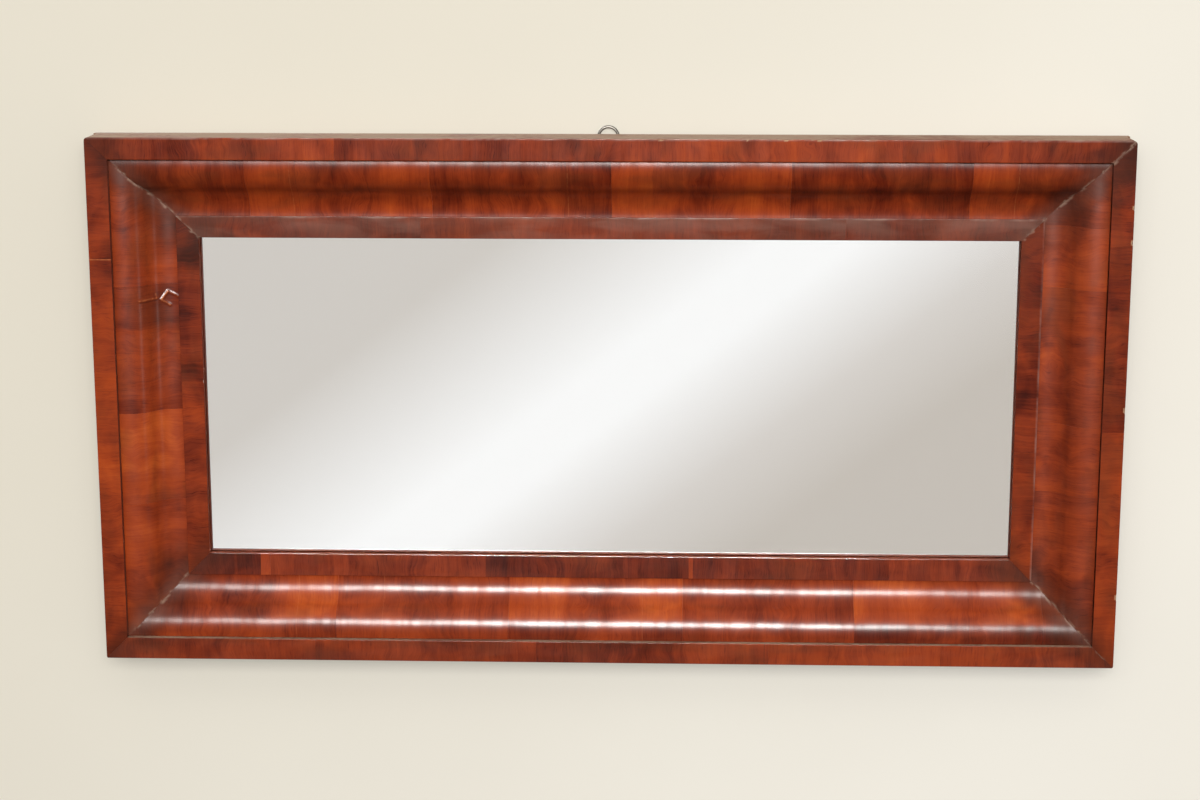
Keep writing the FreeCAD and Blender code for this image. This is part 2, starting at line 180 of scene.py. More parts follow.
class Tree:
    """Short ways to add nodes to one node tree."""

    def __init__(self, tree: bpy.types.NodeTree) -> None:
        """Keep the tree, emptied."""
        self.tree = tree
        tree.nodes.clear()

    def feed(self, socket: NodeSocket, value: object) -> None:
        """Link a socket to another, or set its value.

        Args:
            socket: The input.
            value: A socket to link, or a plain value.
        """
        if isinstance(value, NodeSocket):
            self.tree.links.new(value, socket)
        else:
            socket.default_value = value

    def add(self, kind: str, sockets: dict[str, object] | None = None, **settings: object) -> bpy.types.Node:
        """Add a node.

        Args:
            kind: The node's type name.
            sockets: Values or links for its inputs, by name.
            **settings: Properties of the node.

        Returns:
            The node.
        """
        node = self.tree.nodes.new(kind)
        for name, value in settings.items():
            setattr(node, name, value)
        for name, value in (sockets or {}).items():
            self.feed(node.inputs[name], value)
        return node

    def calc(self, operation: str, *values: object) -> NodeSocket:
        """Result of a sum on values or sockets.

        Args:
            operation: The Math node's operation.
            *values: Its inputs in order.

        Returns:
            The result's socket.
        """
        node = self.add("ShaderNodeMath", operation=operation)
        for socket, value in zip(node.inputs, values):
            self.feed(socket, value)
        return node.outputs[0]

    def times(self, first: object, second: object) -> NodeSocket:
        """Product of two values or sockets."""
        return self.calc("MULTIPLY", first, second)

    def less(self, first: object, second: object) -> NodeSocket:
        """First value or socket less the second."""
        return self.calc("SUBTRACT", first, second)

    def line(self, value: object, rate: object, start: object) -> NodeSocket:
        """Start plus a value times a rate."""
        return self.calc("MULTIPLY_ADD", value, rate, start)

    def size(self, value: object) -> NodeSocket:
        """A value without its sign."""
        return self.calc("ABSOLUTE", value)

    def about(self, texture: NodeSocket) -> NodeSocket:
        """A texture about its middle, from -0.5 to 0.5."""
        return self.less(texture, 0.5)

    def weigh(self, first: object, *parts: tuple[NodeSocket, float]) -> NodeSocket:
        """Sum of a value and of textures about their middle, each with its weight.

        Args:
            first: The value to start from.
            *parts: A texture and its weight each.

        Returns:
            The sum's socket.
        """
        total = first
        for texture, weight in parts:
            total = self.line(self.about(texture), weight, total)
        return total

    def blend(self, share: object, first: object, second: object, mode: str = "MIX") -> NodeSocket:
        """Mix of two colours.

        Args:
            share: How much of the second colour shows.
            first: The first colour.
            second: The second colour.
            mode: The Mix node's blend type.

        Returns:
            The colour's socket.
        """
        node = self.add("ShaderNodeMix", data_type="RGBA", blend_type=mode)
        for index, value in ((0, share), (6, first), (7, second)):
            self.feed(node.inputs[index], value)
        return node.outputs[2]

    def fade(
        self, value: object, start: float, end: float, low: float = 0.0, high: float = 1.0,
    ) -> NodeSocket:
        """Change smoothly from a low to a high value while the driver goes from start to end."""
        sockets = {"Value": value, "From Min": start, "From Max": end, "To Min": low, "To Max": high}
        return self.add("ShaderNodeMapRange", sockets, interpolation_type="SMOOTHSTEP").outputs["Result"]

    def stretch(self, place: NodeSocket, scale: Sequence[float]) -> NodeSocket:
        """Coordinates scaled along each axis."""
        return self.add("ShaderNodeMapping", {"Vector": place, "Scale": scale}).outputs["Vector"]

    def cloud(
        self, place: NodeSocket, scale: Sequence[float], detail: float = 2, distortion: float = 0,
        roughness: float = 0.5,
    ) -> NodeSocket:
        """Noise over coordinates.

        Args:
            place: The coordinates, in metres.
            scale: Marks to the metre along each axis.
            detail: Layers of finer noise.
            distortion: How far the noise swirls.
            roughness: Weight of the finer layers.

        Returns:
            The noise's value, from 0 to 1 about 0.5.
        """
        sockets = {
            "Vector": self.stretch(place, scale), "Scale": 1.0, "Detail": detail, "Distortion": distortion,
            "Roughness": roughness,
        }
        return self.add("ShaderNodeTexNoise", sockets).outputs["Fac"]

    def ramp(self, value: NodeSocket, stops: Sequence[tuple[float, Colour]]) -> NodeSocket:
        """Colour ramp.

        Args:
            value: What drives it.
            stops: Place and colour of each stop.

        Returns:
            The colour's socket.
        """
        node = self.add("ShaderNodeValToRGB", {"Fac": value})
        elements = node.color_ramp.elements
        for element, (place, colour) in zip(elements, (stops[0], stops[-1])):
            element.position, element.color = place, colour
        for place, colour in stops[1:-1]:
            elements.new(place).color = colour
        return node.outputs["Color"]

    def attribute(self, name: str) -> NodeSocket:
        """Vector attribute of the piece by name."""
        return self.add("ShaderNodeAttribute", attribute_name=name).outputs["Vector"]

    def place(self) -> NodeSocket:
        """Coordinates of the piece itself."""
        return self.add("ShaderNodeTexCoord").outputs["Object"]

    def geometry(self, name: str) -> NodeSocket:
        """A fact about the surface by name, such as its normal."""
        return self.add("ShaderNodeNewGeometry").outputs[name]

    def parts(self, vector: NodeSocket) -> NodeOutputs:
        """The three parts of a vector."""
        return self.add("ShaderNodeSeparateXYZ", {"Vector": vector}).outputs

    def join(self, x: object, y: object, z: object) -> NodeSocket:
        """Vector of three values or sockets."""
        return self.add("ShaderNodeCombineXYZ", {"X": x, "Y": y, "Z": z}).outputs["Vector"]

    def bump(self, height: NodeSocket, depth: float) -> NodeSocket:
        """Normal of a surface with this relief, from 0 to 1, and this depth in metres."""
        sockets = {"Height": height, "Strength": 1.0, "Distance": depth}
        return self.add("ShaderNodeBump", sockets).outputs["Normal"]

    def shader(self, sockets: dict[str, object]) -> NodeSocket:
        """Surface shader with these values or links."""
        return self.add("ShaderNodeBsdfPrincipled", sockets).outputs["BSDF"]


class Effect:
    """A shader node group that more than one material places with its own values."""

    def __init__(self, name: str, inputs: dict[str, str], outputs: Iterable[str]) -> None:
        """Make the group and its sockets.

        Args:
            name: The group's name.
            inputs: Kind of each input by name: Float or Vector.
            outputs: Names of the outputs, which are all values.
        """
        self.group = bpy.data.node_groups.new(name, "ShaderNodeTree")
        for way, sockets in (("INPUT", inputs), ("OUTPUT", dict.fromkeys(outputs, "Float"))):
            for socket, kind in sockets.items():
                self.group.interface.new_socket(name=socket, in_out=way, socket_type=f"NodeSocket{kind}")
        self.tree = Tree(self.group)
        self.given = self.tree.add("NodeGroupInput").outputs
        self.result = self.tree.add("NodeGroupOutput").inputs

    def put(self, **results: NodeSocket) -> None:
        """Link the group's outputs by name."""
        for name, socket in results.items():
            self.tree.feed(self.result[name], socket)

    def set_in(self, tree: Tree, **inputs: object) -> NodeOutputs:
        """Put the group in a material with these values or links, and give its outputs there."""
        return tree.add("ShaderNodeGroup", inputs, node_tree=self.group).outputs


class CrossGrain(Effect):
    """Mahogany veneer laid with its grain across the member: streaks, pores, clouds and swirled figure.

    Its textures have so many marks to the metre along the member and across it, and differ from leaf to leaf.
    """

    DRIFT, PATCH, SWIRL, DULL = (26, 26, 1), (19, 24, 1), (38, 26, 1), (15, 30, 1)
    HAIR, LINE, STRIPE, PORE = (620, 22, 1), (170, 9, 1), (48, 4, 1), (1700, 90, 1)
    PLAIN_BEND, FIGURED_BEND = 9 * MM, 32 * MM
    DULL_APART = 7.0
    TONE_SHARES, SWIRL_SHARE, PORE_SHARE = (0.34, 0.30, 0.48, 0.9), 0.62, -0.16
    RELIEF_SHARES, PORE_DEPTH = (0.5, 0.8), -0.5
    PORE_FADE, DULL_FADE = (0.60, 0.70), (0.46, 0.72)

    def __init__(self) -> None:
        """Build the group."""
        inputs = {"Grain": "Vector", "Tone": "Float", "Figure": "Float"}
        super().__init__("cross_grain", inputs, ("Tone", "Relief", "Haze", "Dull"))
        tree, grain, figure = self.tree, self.given["Grain"], self.given["Figure"]
        along, across, leaf = tree.parts(grain)
        drift = tree.cloud(grain, self.DRIFT)
        reach = tree.line(figure, self.FIGURED_BEND, self.PLAIN_BEND)
        bent = tree.join(tree.line(tree.about(drift), reach, along), across, leaf)
        hair, line = tree.cloud(bent, self.HAIR, 3), tree.cloud(bent, self.LINE, 3)
        stripe = tree.cloud(bent, self.STRIPE, 2)
        patch = tree.cloud(grain, self.PATCH, 3, 0.6)
        swirl = tree.cloud(bent, self.SWIRL, 2, 1.2)
        apart = tree.join(along, across, tree.calc("ADD", leaf, self.DULL_APART))
        dull = tree.cloud(apart, self.DULL, 4, 0.5)
        pore = tree.fade(tree.cloud(bent, self.PORE, 1), *self.PORE_FADE)
        tone = tree.weigh(self.given["Tone"], *zip((hair, line, stripe, patch), self.TONE_SHARES))
        tone = tree.line(tree.times(tree.about(swirl), self.SWIRL_SHARE), figure, tone)
        tone = tree.line(pore, self.PORE_SHARE, tone)
        relief = tree.line(pore, self.PORE_DEPTH, tree.weigh(0.5, *zip((hair, line), self.RELIEF_SHARES)))
        self.put(Tone=tone, Relief=relief, Haze=patch, Dull=tree.fade(dull, *self.DULL_FADE))


class PineGrain(Effect):
    """Softwood grain along X: growth rings, fine fibre, saw marks and a few knots.

    Its textures have so many marks to the metre along the grain and both ways across it.
    """

    DRIFT, FIBRE, KERF, KNOTS = (1.0, 5, 5), (12, 620, 620), (380, 5, 9), (3.1, 4, 9)
    KNOT_EDGE, KNOT_HEART = 0.075, 0.03
    KNOT_REACH, KNOT_PUSH = 0.5, 0.03
    RING_LEAN, RING_RUN = 0.7, 0.12
    RELIEF_SHARES = (0.4, 0.6, 0.7)

    def __init__(self) -> None:
        """Build the group."""
        inputs = {"Place": "Vector", "Rings": "Float", "Wander": "Float"}
        super().__init__("pine_grain", inputs, ("Ring", "Fibre", "Kerf", "Knot", "Relief"))
        tree, place = self.tree, self.given["Place"]
        x, y, z = tree.parts(place)
        drift = tree.about(tree.cloud(place, self.DRIFT))
        swing = tree.line(drift, self.given["Wander"], tree.line(y, self.RING_LEAN, z))
        sockets = {"Vector": tree.stretch(place, self.KNOTS), "Scale": 1.0, "Randomness": 1.0}
        far = tree.add("ShaderNodeTexVoronoi", sockets).outputs["Distance"]
        swing = tree.calc("ADD", swing, tree.fade(far, self.KNOT_REACH, 0.0, 0.0, self.KNOT_PUSH))
        grown = tree.join(tree.times(x, self.RING_RUN), y, swing)
        sockets = {
            "Vector": grown, "Scale": self.given["Rings"], "Distortion": 0.5, "Detail": 2.0,
            "Detail Scale": 1.2,
        }
        bands = {"wave_type": "BANDS", "bands_direction": "Z", "wave_profile": "SAW"}
        ring = tree.add("ShaderNodeTexWave", sockets, **bands).outputs["Fac"]
        fibre, kerf = tree.cloud(place, self.FIBRE, 4), tree.cloud(place, self.KERF)
        relief = tree.weigh(0.5, *zip((ring, fibre, kerf), self.RELIEF_SHARES))
        knot = tree.fade(far, self.KNOT_EDGE, self.KNOT_HEART)
        self.put(Ring=ring, Fibre=fibre, Kerf=kerf, Knot=knot, Relief=relief)


class Ageing(Effect):
    """Grime in blotches, dust on faces that look up, and rubbed spots."""

    BLOTCH, SPECK, RUB = (9, 9, 9), (160, 160, 160), (60, 60, 60)
    UP_FADE, DUST_FADE, SPECK_SHARE = (0.35, 0.9), (0.3, 0.6, 0.35, 1.0), 0.5
    GRIME_FADE, RUB_FADE = (0.48, 0.7), (0.6, 0.72)

    def __init__(self) -> None:
        """Build the group."""
        super().__init__("ageing", {"Place": "Vector", "Normal": "Vector"}, ("Grime", "Dust", "Rubbed"))
        tree, place = self.tree, self.given["Place"]
        blotch = tree.cloud(place, self.BLOTCH, 5, 0.3)
        speck = tree.cloud(place, self.SPECK, 3)
        up = tree.fade(tree.parts(self.given["Normal"])[2], *self.UP_FADE)
        lying = tree.fade(tree.weigh(blotch, (speck, self.SPECK_SHARE)), *self.DUST_FADE)
        rubbed = tree.fade(tree.cloud(place, self.RUB, 5, 0, 0.62), *self.RUB_FADE)
        self.put(Grime=tree.fade(blotch, *self.GRIME_FADE), Dust=tree.times(up, lying), Rubbed=rubbed)


class Finish:
    """A finish that is laid out as nodes and made into a material."""

    name: str

    def surface(self, tree: Tree) -> NodeSocket:
        """Lay out the finish.

        Args:
            tree: The material's empty tree.

        Returns:
            The surface shader's socket.
        """
        raise NotImplementedError

    def material(self) -> Material:
        """The finish as a material.

        Returns:
            The material.
        """
        made = bpy.data.materials.new(self.name)
        made.use_nodes = True
        tree = Tree(made.node_tree)
        tree.feed(tree.add("ShaderNodeOutputMaterial").inputs["Surface"], self.surface(tree))
        return made


@dataclass(frozen=True)
class VeneerFinish(Finish):
    """French-polished mahogany veneer, with the colours of its wood from dark to bright."""

    name: str
    cross_grain: CrossGrain
    woods: tuple[Colour, ...] = (
        srgb(64, 19, 10), srgb(106, 36, 17), srgb(140, 53, 23), srgb(164, 66, 26), srgb(186, 84, 32),
    )
    haze: Colour = srgb(158, 122, 110)
    dust: Colour = srgb(184, 158, 138)
    faded: Colour = srgb(86, 48, 28)
    grime: Colour = srgb(58, 30, 21)
    raw: Colour = srgb(196, 158, 122)
    pale_line: Colour = srgb(196, 112, 66)
    fading: float = 0.3
    soot: float = 0.62
    soot_reach: float = 55 * MM
    polish: float = 0.36
    sheen: float = 0.17
    gloss: float = 1.0
    polish_index: float = 1.6
    relief: float = 0.06 * MM

    SPOTS, BLOTS, LINT, BRUSHED = (240, 240, 7), (15, 52, 9), (90, 70, 5), (64, 5, 3)
    DUST_EDGE, DUST_HEART, DUST_RAGGED = 3.4 * MM, -0.4 * MM, (-3 * MM, -7 * MM)
    SOOT_RAGGED, PALE_FADE = 0.06, (0.25, 0.6)
    DUST_FADE, FILM_FADE = (0.42, 0.66, 0.02, 0.42), (0.34, 0.66, 0.4, 1.1)
    ROUGH_SHARES, ROUGH_VEIL = (0.16, 0.06), 0.3
    COAT_FADE, LEAST_COAT, UNDER_COAT = (0.36, 0.6), 0.5, 0.03

    def surface(self, tree: Tree) -> NodeSocket:
        """Lay out the finish from the grain, tint and wear of the veneer.

        Args:
            tree: The material's empty tree.

        Returns:
            The surface shader's socket.
        """
        grain = tree.attribute("grain")
        tone, line, film = tree.parts(tree.attribute("tint"))
        figure, mitre, chip = tree.parts(tree.attribute("wear"))
        wood = self.cross_grain.set_in(tree, Grain=grain, Tone=tone, Figure=figure)
        stops = [(number / (len(self.woods) - 1), colour) for number, colour in enumerate(self.woods)]
        colour = tree.blend(tree.times(wood["Dull"], self.fading), tree.ramp(wood["Tone"], stops), self.faded)
        spots = tree.cloud(grain, self.SPOTS, 3)
        blots = tree.cloud(grain, self.BLOTS, 5, 0.4)
        lint = tree.cloud(grain, self.LINT, 4, 0.6)
        brushed = tree.cloud(grain, self.BRUSHED, 5, 0.3, 0.6)
        # The veneer is darker towards the mitres, in the grime colour, with a ragged edge.
        sooted = tree.fade(tree.weigh(mitre, (wood["Haze"], self.SOOT_RAGGED)), self.soot_reach, 0.0)
        colour = tree.blend(tree.times(sooted, self.soot), colour, self.grime)
        # Pale and dark lines: marks in the veneer and its splits; along the lifted splits the pale lines are
        # partly painted highlight and the dark one is painted shade.
        pale = tree.times(tree.calc("MAXIMUM", line, 0.0), tree.fade(spots, *self.PALE_FADE))
        dark = tree.calc("MAXIMUM", tree.times(line, -1.0), 0.0)
        colour = tree.blend(dark, tree.blend(pale, colour, self.pale_line), self.grime)
        ragged = tree.weigh(mitre, *zip((spots, lint), self.DUST_RAGGED))
        near = tree.fade(ragged, self.DUST_EDGE, self.DUST_HEART)
        dusty = tree.times(near, tree.fade(lint, *self.DUST_FADE))
        veil = tree.times(film, tree.fade(blots, *self.FILM_FADE))
        colour = tree.blend(dusty, tree.blend(veil, colour, self.haze), self.dust)
        veil = tree.calc("MAXIMUM", veil, dusty)
        rough = tree.weigh(self.polish, *zip((wood["Haze"], spots), self.ROUGH_SHARES))
        return tree.shader({
            "Base Color": tree.blend(chip, colour, self.raw),
            "Roughness": tree.line(tree.calc("ADD", veil, chip), self.ROUGH_VEIL, rough),
            "Specular IOR Level": self.UNDER_COAT,
            "Coat Weight": tree.fade(brushed, *self.COAT_FADE, self.LEAST_COAT * self.gloss, self.gloss),
            "Coat Roughness": self.sheen,
            "Coat IOR": self.polish_index,
            "Normal": tree.bump(wood["Relief"], self.relief),
        })


@dataclass(frozen=True)
class BoardSoil:
    """Where a backboard is soiled: along its outer edges, and round the iron of its nails.

    The nails stand in a row along one long edge at an even pitch, with one at the middle, and in a pair at
    each end. A stain runs further along the grain than across it.
    """

    half_width: float
    outer_edge: float
    row: float
    pitch: float
    end: float
    pair_middle: float
    pair_reach: float
    run: float = 0.55

    def inset(self, tree: Tree, place: NodeSocket) -> NodeSocket:
        """Distance in from the nearest outer edge of the pair of boards.

        Args:
            tree: The material's tree.
            place: Object coordinates.

        Returns:
            The distance's socket, in metres.
        """
        x, _, z = tree.parts(place)
        beside = tree.less(self.half_width, tree.size(x))
        return tree.calc("MINIMUM", beside, tree.size(tree.less(z, self.outer_edge)))

    def to_nail(self, tree: Tree, place: NodeSocket) -> NodeSocket:
        """Distance to the nearest nail, shortened along the grain.

        Args:
            tree: The material's tree.
            place: Object coordinates.

        Returns:
            The distance's socket, in metres.
        """
        x, _, z = tree.parts(place)
        over = tree.size(tree.less(z, self.pair_middle))
        spots = (
            (tree.calc("PINGPONG", x, self.pitch / 2), tree.less(z, self.row)),
            (tree.less(tree.size(x), self.end), tree.less(over, self.pair_reach)),
        )
        lengths = []
        for along, across in spots:
            way = tree.join(tree.times(along, self.run), across, 0.0)
            length = tree.add("ShaderNodeVectorMath", {"Vector": way}, operation="LENGTH")
            lengths.append(length.outputs["Value"])
        return tree.calc("MINIMUM", *lengths)


@dataclass(frozen=True)
class PineFinish(Finish):
    """Old pine, raw or stained, with the grain along one member or board."""

    name: str
    pine_grain: PineGrain
    ageing: Ageing
    early: Colour
    late: Colour
    grime: Colour = srgb(52, 34, 24)
    dust: Colour = srgb(172, 146, 124)
    knot: Colour = srgb(94, 58, 36)
    rubbed: Colour = srgb(176, 132, 92)
    iron_stain: Colour = srgb(58, 40, 32)
    stain: Colour | None = None
    upright: bool = False
    roughness: float = 0.6
    dusting: float = 0.8
    rubbing: float = 0.3
    shift: float = 0.0
    rings: float = 52.0
    wander: float = 0.1
    soiling: float = 0.4
    relief: float = 0.25 * MM
    soil: BoardSoil | None = None

    BORDER, BORDER_SHARE = 22 * MM, 0.38
    RUST_EDGE, RUST_HEART, RUST_SHARE = 7.5 * MM, 1.5 * MM, 0.6
    LATE, LATE_SHARES, STAIN_FADE = 0.42, (0.75, 1.1, 0.35), (0.5, 0.8, 0.86, 0.0)
    RAGGED, ROUGH_SHARES, ROUGH_DUST, SHINE = (20 * MM, 4 * MM), (0.2, 0.1), 0.3, 0.2

    def surface(self, tree: Tree) -> NodeSocket:
        """Lay out the finish from the grain, what soils the wood, and dust.

        Args:
            tree: The material's empty tree.

        Returns:
            The surface shader's socket.
        """
        place, normal = tree.place(), tree.geometry("Normal")
        turn = (0, math.pi / 2, 0) if self.upright else (0, 0, 0)
        sockets = {"Vector": place, "Rotation": turn, "Location": (self.shift, 0, self.shift)}
        moved = tree.add("ShaderNodeMapping", sockets).outputs["Vector"]
        wood = self.pine_grain.set_in(tree, Place=moved, Rings=self.rings, Wander=self.wander)
        age = self.ageing.set_in(tree, Place=place, Normal=normal)
        late = tree.weigh(self.LATE, *zip((wood["Ring"], wood["Fibre"], wood["Kerf"]), self.LATE_SHARES))
        colour = tree.blend(wood["Knot"], tree.blend(late, self.early, self.late), self.knot)
        if self.stain:
            facing = tree.fade(tree.size(tree.parts(normal)[1]), *self.STAIN_FADE)
            colour = tree.blend(facing, colour, self.stain)
        colour = tree.blend(tree.times(age["Grime"], self.soiling), colour, self.grime)
        colour = tree.blend(tree.times(age["Rubbed"], self.rubbing), colour, self.rubbed)
        uneven = wood["Fibre"], age["Grime"]
        if self.soil:
            ragged = tree.weigh(0.0, *zip(uneven, self.RAGGED))
            inset = tree.calc("ADD", self.soil.inset(tree, place), ragged)
            border = tree.fade(inset, self.BORDER, 0.0, 0.0, self.BORDER_SHARE)
            colour = tree.blend(border, colour, self.grime)
            near = tree.calc("ADD", self.soil.to_nail(tree, place), ragged)
            rusty = tree.fade(near, self.RUST_EDGE, self.RUST_HEART, 0.0, self.RUST_SHARE)
            colour = tree.blend(rusty, colour, self.iron_stain)
        rough = tree.weigh(self.roughness, *zip(uneven, self.ROUGH_SHARES))
        return tree.shader({
            "Base Color": tree.blend(tree.times(age["Dust"], self.dusting), colour, self.dust),
            "Roughness": tree.line(age["Dust"], self.ROUGH_DUST, rough),
            "Specular IOR Level": self.SHINE,
            "Normal": tree.bump(wood["Relief"], self.relief),
        })


@dataclass(frozen=True)
class MetalFinish(Finish):
    """Bare iron or steel with rust and rubbed edges."""

    name: str
    ageing: Ageing
    metal: Colour
    rust: Colour
    worn: float
    roughness: float
    bright: Colour = srgb(150, 146, 138)
    grime: Colour = srgb(34, 27, 22)
    soiling: float = 0.4
    rust_edge: float = 0.14
    relief: float = 0.12 * MM

    CRUST, SCRATCH = (210, 210, 210), (900, 900, 120)
    RUST_SHARE, BRIGHT, BRIGHT_SHARE = 0.12, 0.3, 0.8
    ROUGH_RUST, ROUGH_SCRATCH = 0.4, 0.3
    METAL_FADE, RELIEF_SHARES = (0.0, 1.0, 1.0, 0.15), (0.8, 0.2)

    def surface(self, tree: Tree) -> NodeSocket:
        """Lay out the finish from scratches, rust and grime.

        Args:
            tree: The material's empty tree.

        Returns:
            The surface shader's socket.
        """
        place, normal = tree.place(), tree.geometry("Normal")
        age = self.ageing.set_in(tree, Place=place, Normal=normal)
        crust = tree.cloud(place, self.CRUST, 5, 0.3, 0.65)
        eaten = tree.weigh(crust, (age["Grime"], self.RUST_SHARE))
        rusted = tree.fade(eaten, self.worn, self.worn + self.rust_edge)
        scratch = tree.cloud(place, self.SCRATCH)
        shine = tree.weigh(self.BRIGHT, (scratch, self.BRIGHT_SHARE))
        colour = tree.blend(rusted, tree.blend(shine, self.metal, self.bright), self.rust)
        rough = tree.weigh(self.roughness, (scratch, self.ROUGH_SCRATCH))
        relief = tree.weigh(0.5, *zip((crust, scratch), self.RELIEF_SHARES))
        return tree.shader({
            "Base Color": tree.blend(tree.times(age["Grime"], self.soiling), colour, self.grime),
            "Roughness": tree.line(rusted, self.ROUGH_RUST, rough),
            "Metallic": tree.fade(rusted, *self.METAL_FADE),
            "Normal": tree.bump(relief, self.relief),
        })


@dataclass(frozen=True)
class GlassFinish(Finish):
    """Clear old plate, a little smeared."""

    name: str = "plate_glass"
    tone: Colour = srgb(254, 254, 254)
    index: float = 1.5

    SMEAR, SMEAR_FADE = (9, 9, 14), (0.55, 0.9, 0.0, 0.03)

    def surface(self, tree: Tree) -> NodeSocket:
        """Lay out the finish.

        Args:
            tree: The material's empty tree.

        Returns:
            The surface shader's socket.
        """
        smear = tree.cloud(tree.place(), self.SMEAR, 4, 0.6)
        rough = tree.fade(smear, *self.SMEAR_FADE)
        sockets = {"Base Color": self.tone, "Roughness": rough, "Transmission Weight": 1.0, "IOR": self.index}
        return tree.shader(sockets)


@dataclass(frozen=True)
class SilverFinish(Finish):
    """Silvering on the back of the plate, a little spotted towards its edges, with a painted back."""

    name: str = "silvering"
    half_width: float = 0.429
    half_height: float = 0.177
    silver: Colour = srgb(250, 250, 249)
    spotted: Colour = srgb(74, 66, 56)
    back_paint: Colour = srgb(96, 88, 80)

    SPOT, EDGE, RAGGED = (130, 130, 130), 7 * MM, 12 * MM
    BACK_FADE, SPOTTING, ROUGH_SPOT, ROUGH_BACK = (0.3, 0.7), 0.8, 0.25, 0.55

    def surface(self, tree: Tree) -> NodeSocket:
        """Lay out the finish.

        Args:
            tree: The material's empty tree.

        Returns:
            The surface shader's socket.
        """
        place = tree.place()
        x, _, z = tree.parts(place)
        beside = tree.less(self.half_width, tree.size(x))
        inset = tree.calc("MINIMUM", beside, tree.less(self.half_height, tree.size(z)))
        spot = tree.cloud(place, self.SPOT, 4, 0.5, 0.6)
        edge = tree.fade(tree.weigh(inset, (spot, self.RAGGED)), self.EDGE, 0.0)
        back = tree.fade(tree.parts(tree.geometry("Normal"))[1], *self.BACK_FADE)
        colour = tree.blend(tree.times(edge, self.SPOTTING), self.silver, self.spotted)
        rough = tree.times(edge, self.ROUGH_SPOT), tree.times(back, self.ROUGH_BACK)
        return tree.shader({
            "Base Color": tree.blend(back, colour, self.back_paint),
            "Roughness": tree.calc("MAXIMUM", *rough),
            "Metallic": 1.0,
        })


def placed(bm: BMesh, name: str, material: Material) -> Object:
    """Put a bmesh in the scene as an object.

    Args:
        bm: The mesh, which is freed.
        name: The object's name.
        material: Its finish.

    Returns:
        The new object, at the origin.
    """
    mesh = bpy.data.meshes.new(name)
    bm.to_mesh(mesh)
    bm.free()
    mesh.materials.append(material)
    made = bpy.data.objects.new(name, mesh)
    bpy.context.scene.collection.objects.link(made)
    return made


def finished(bm: BMesh, name: str, material: Material, crease: float = 48) -> Object:
    """Turn a bmesh in the mirror's frame into an object.

    Args:
        bm: The mesh, which is freed.
        name: The piece's name.
        material: Its finish.
        crease: Edges that turn by more than this many degrees stay sharp.

    Returns:
        The new object, at the origin.
    """
    bmesh.ops.recalc_face_normals(bm, faces=bm.faces[:])
    for face in bm.faces:
        face.smooth = True
    for edge in bm.edges:
        edge.smooth = edge.calc_face_angle(0.0) < math.radians(crease)
    piece = placed(bm, name, material)
    even = piece.modifiers.new("even_normals", "WEIGHTED_NORMAL")
    even.keep_sharp = True
    return piece


@dataclass(frozen=True)
class Leaf:
    """One leaf of veneer: where it begins and ends along the member in millimetres, and its tones.

    The tones are those of its first edge, its figured middle and its last edge, from 0, dark, to 1, bright.
    Leaves of one flitch are turned over in turn, so a leaf's figure runs from its start or from its end.
    """

    start: float
    end: float
    tones: Tones = (0.5, 0.5, 0.5)
    from_end: bool = False
    figure: float = 0.6


@dataclass(frozen=True)
class Mark:
    """A line across a veneer: its place along the member in millimetres, its weight, and its half width.

    A pale line has a weight above 0, a dark one below.
    """

    place: float
    weight: float
    reach: float = 0.6


@dataclass(frozen=True)
class Split:
    """A split in a veneer, between two places given as distance along and over the face in millimetres.

    A pale split has a weight above 0, a dark one below. Its edges stand up by the lift, in millimetres.
    """

    start: Point
    end: Point
    weight: float
    lift: float = 0.0
    margin: float = 3

    def away(self, spot: Point) -> float:
        """Distance of a spot from the split.

        Args:
            spot: The spot, as the split's ends are given.

        Returns:
            The distance, in millimetres.
        """
        way, off = Vector(self.end) - Vector(self.start), Vector(spot) - Vector(self.start)
        share = max(0.0, min(1.0, off.dot(way) / way.length_squared))
        return (off - way * share).length

    def stretch(self) -> Point:
        """Where it begins and ends along the member, with a little more each way."""
        low, high = sorted((self.start[0], self.end[0]))
        return low - self.margin, high + self.margin


@dataclass(frozen=True)
class Chip:
    """A chip out of the outer arris: its place along, its half length and its depth, in millimetres."""

    place: float
    reach: float
    depth: float


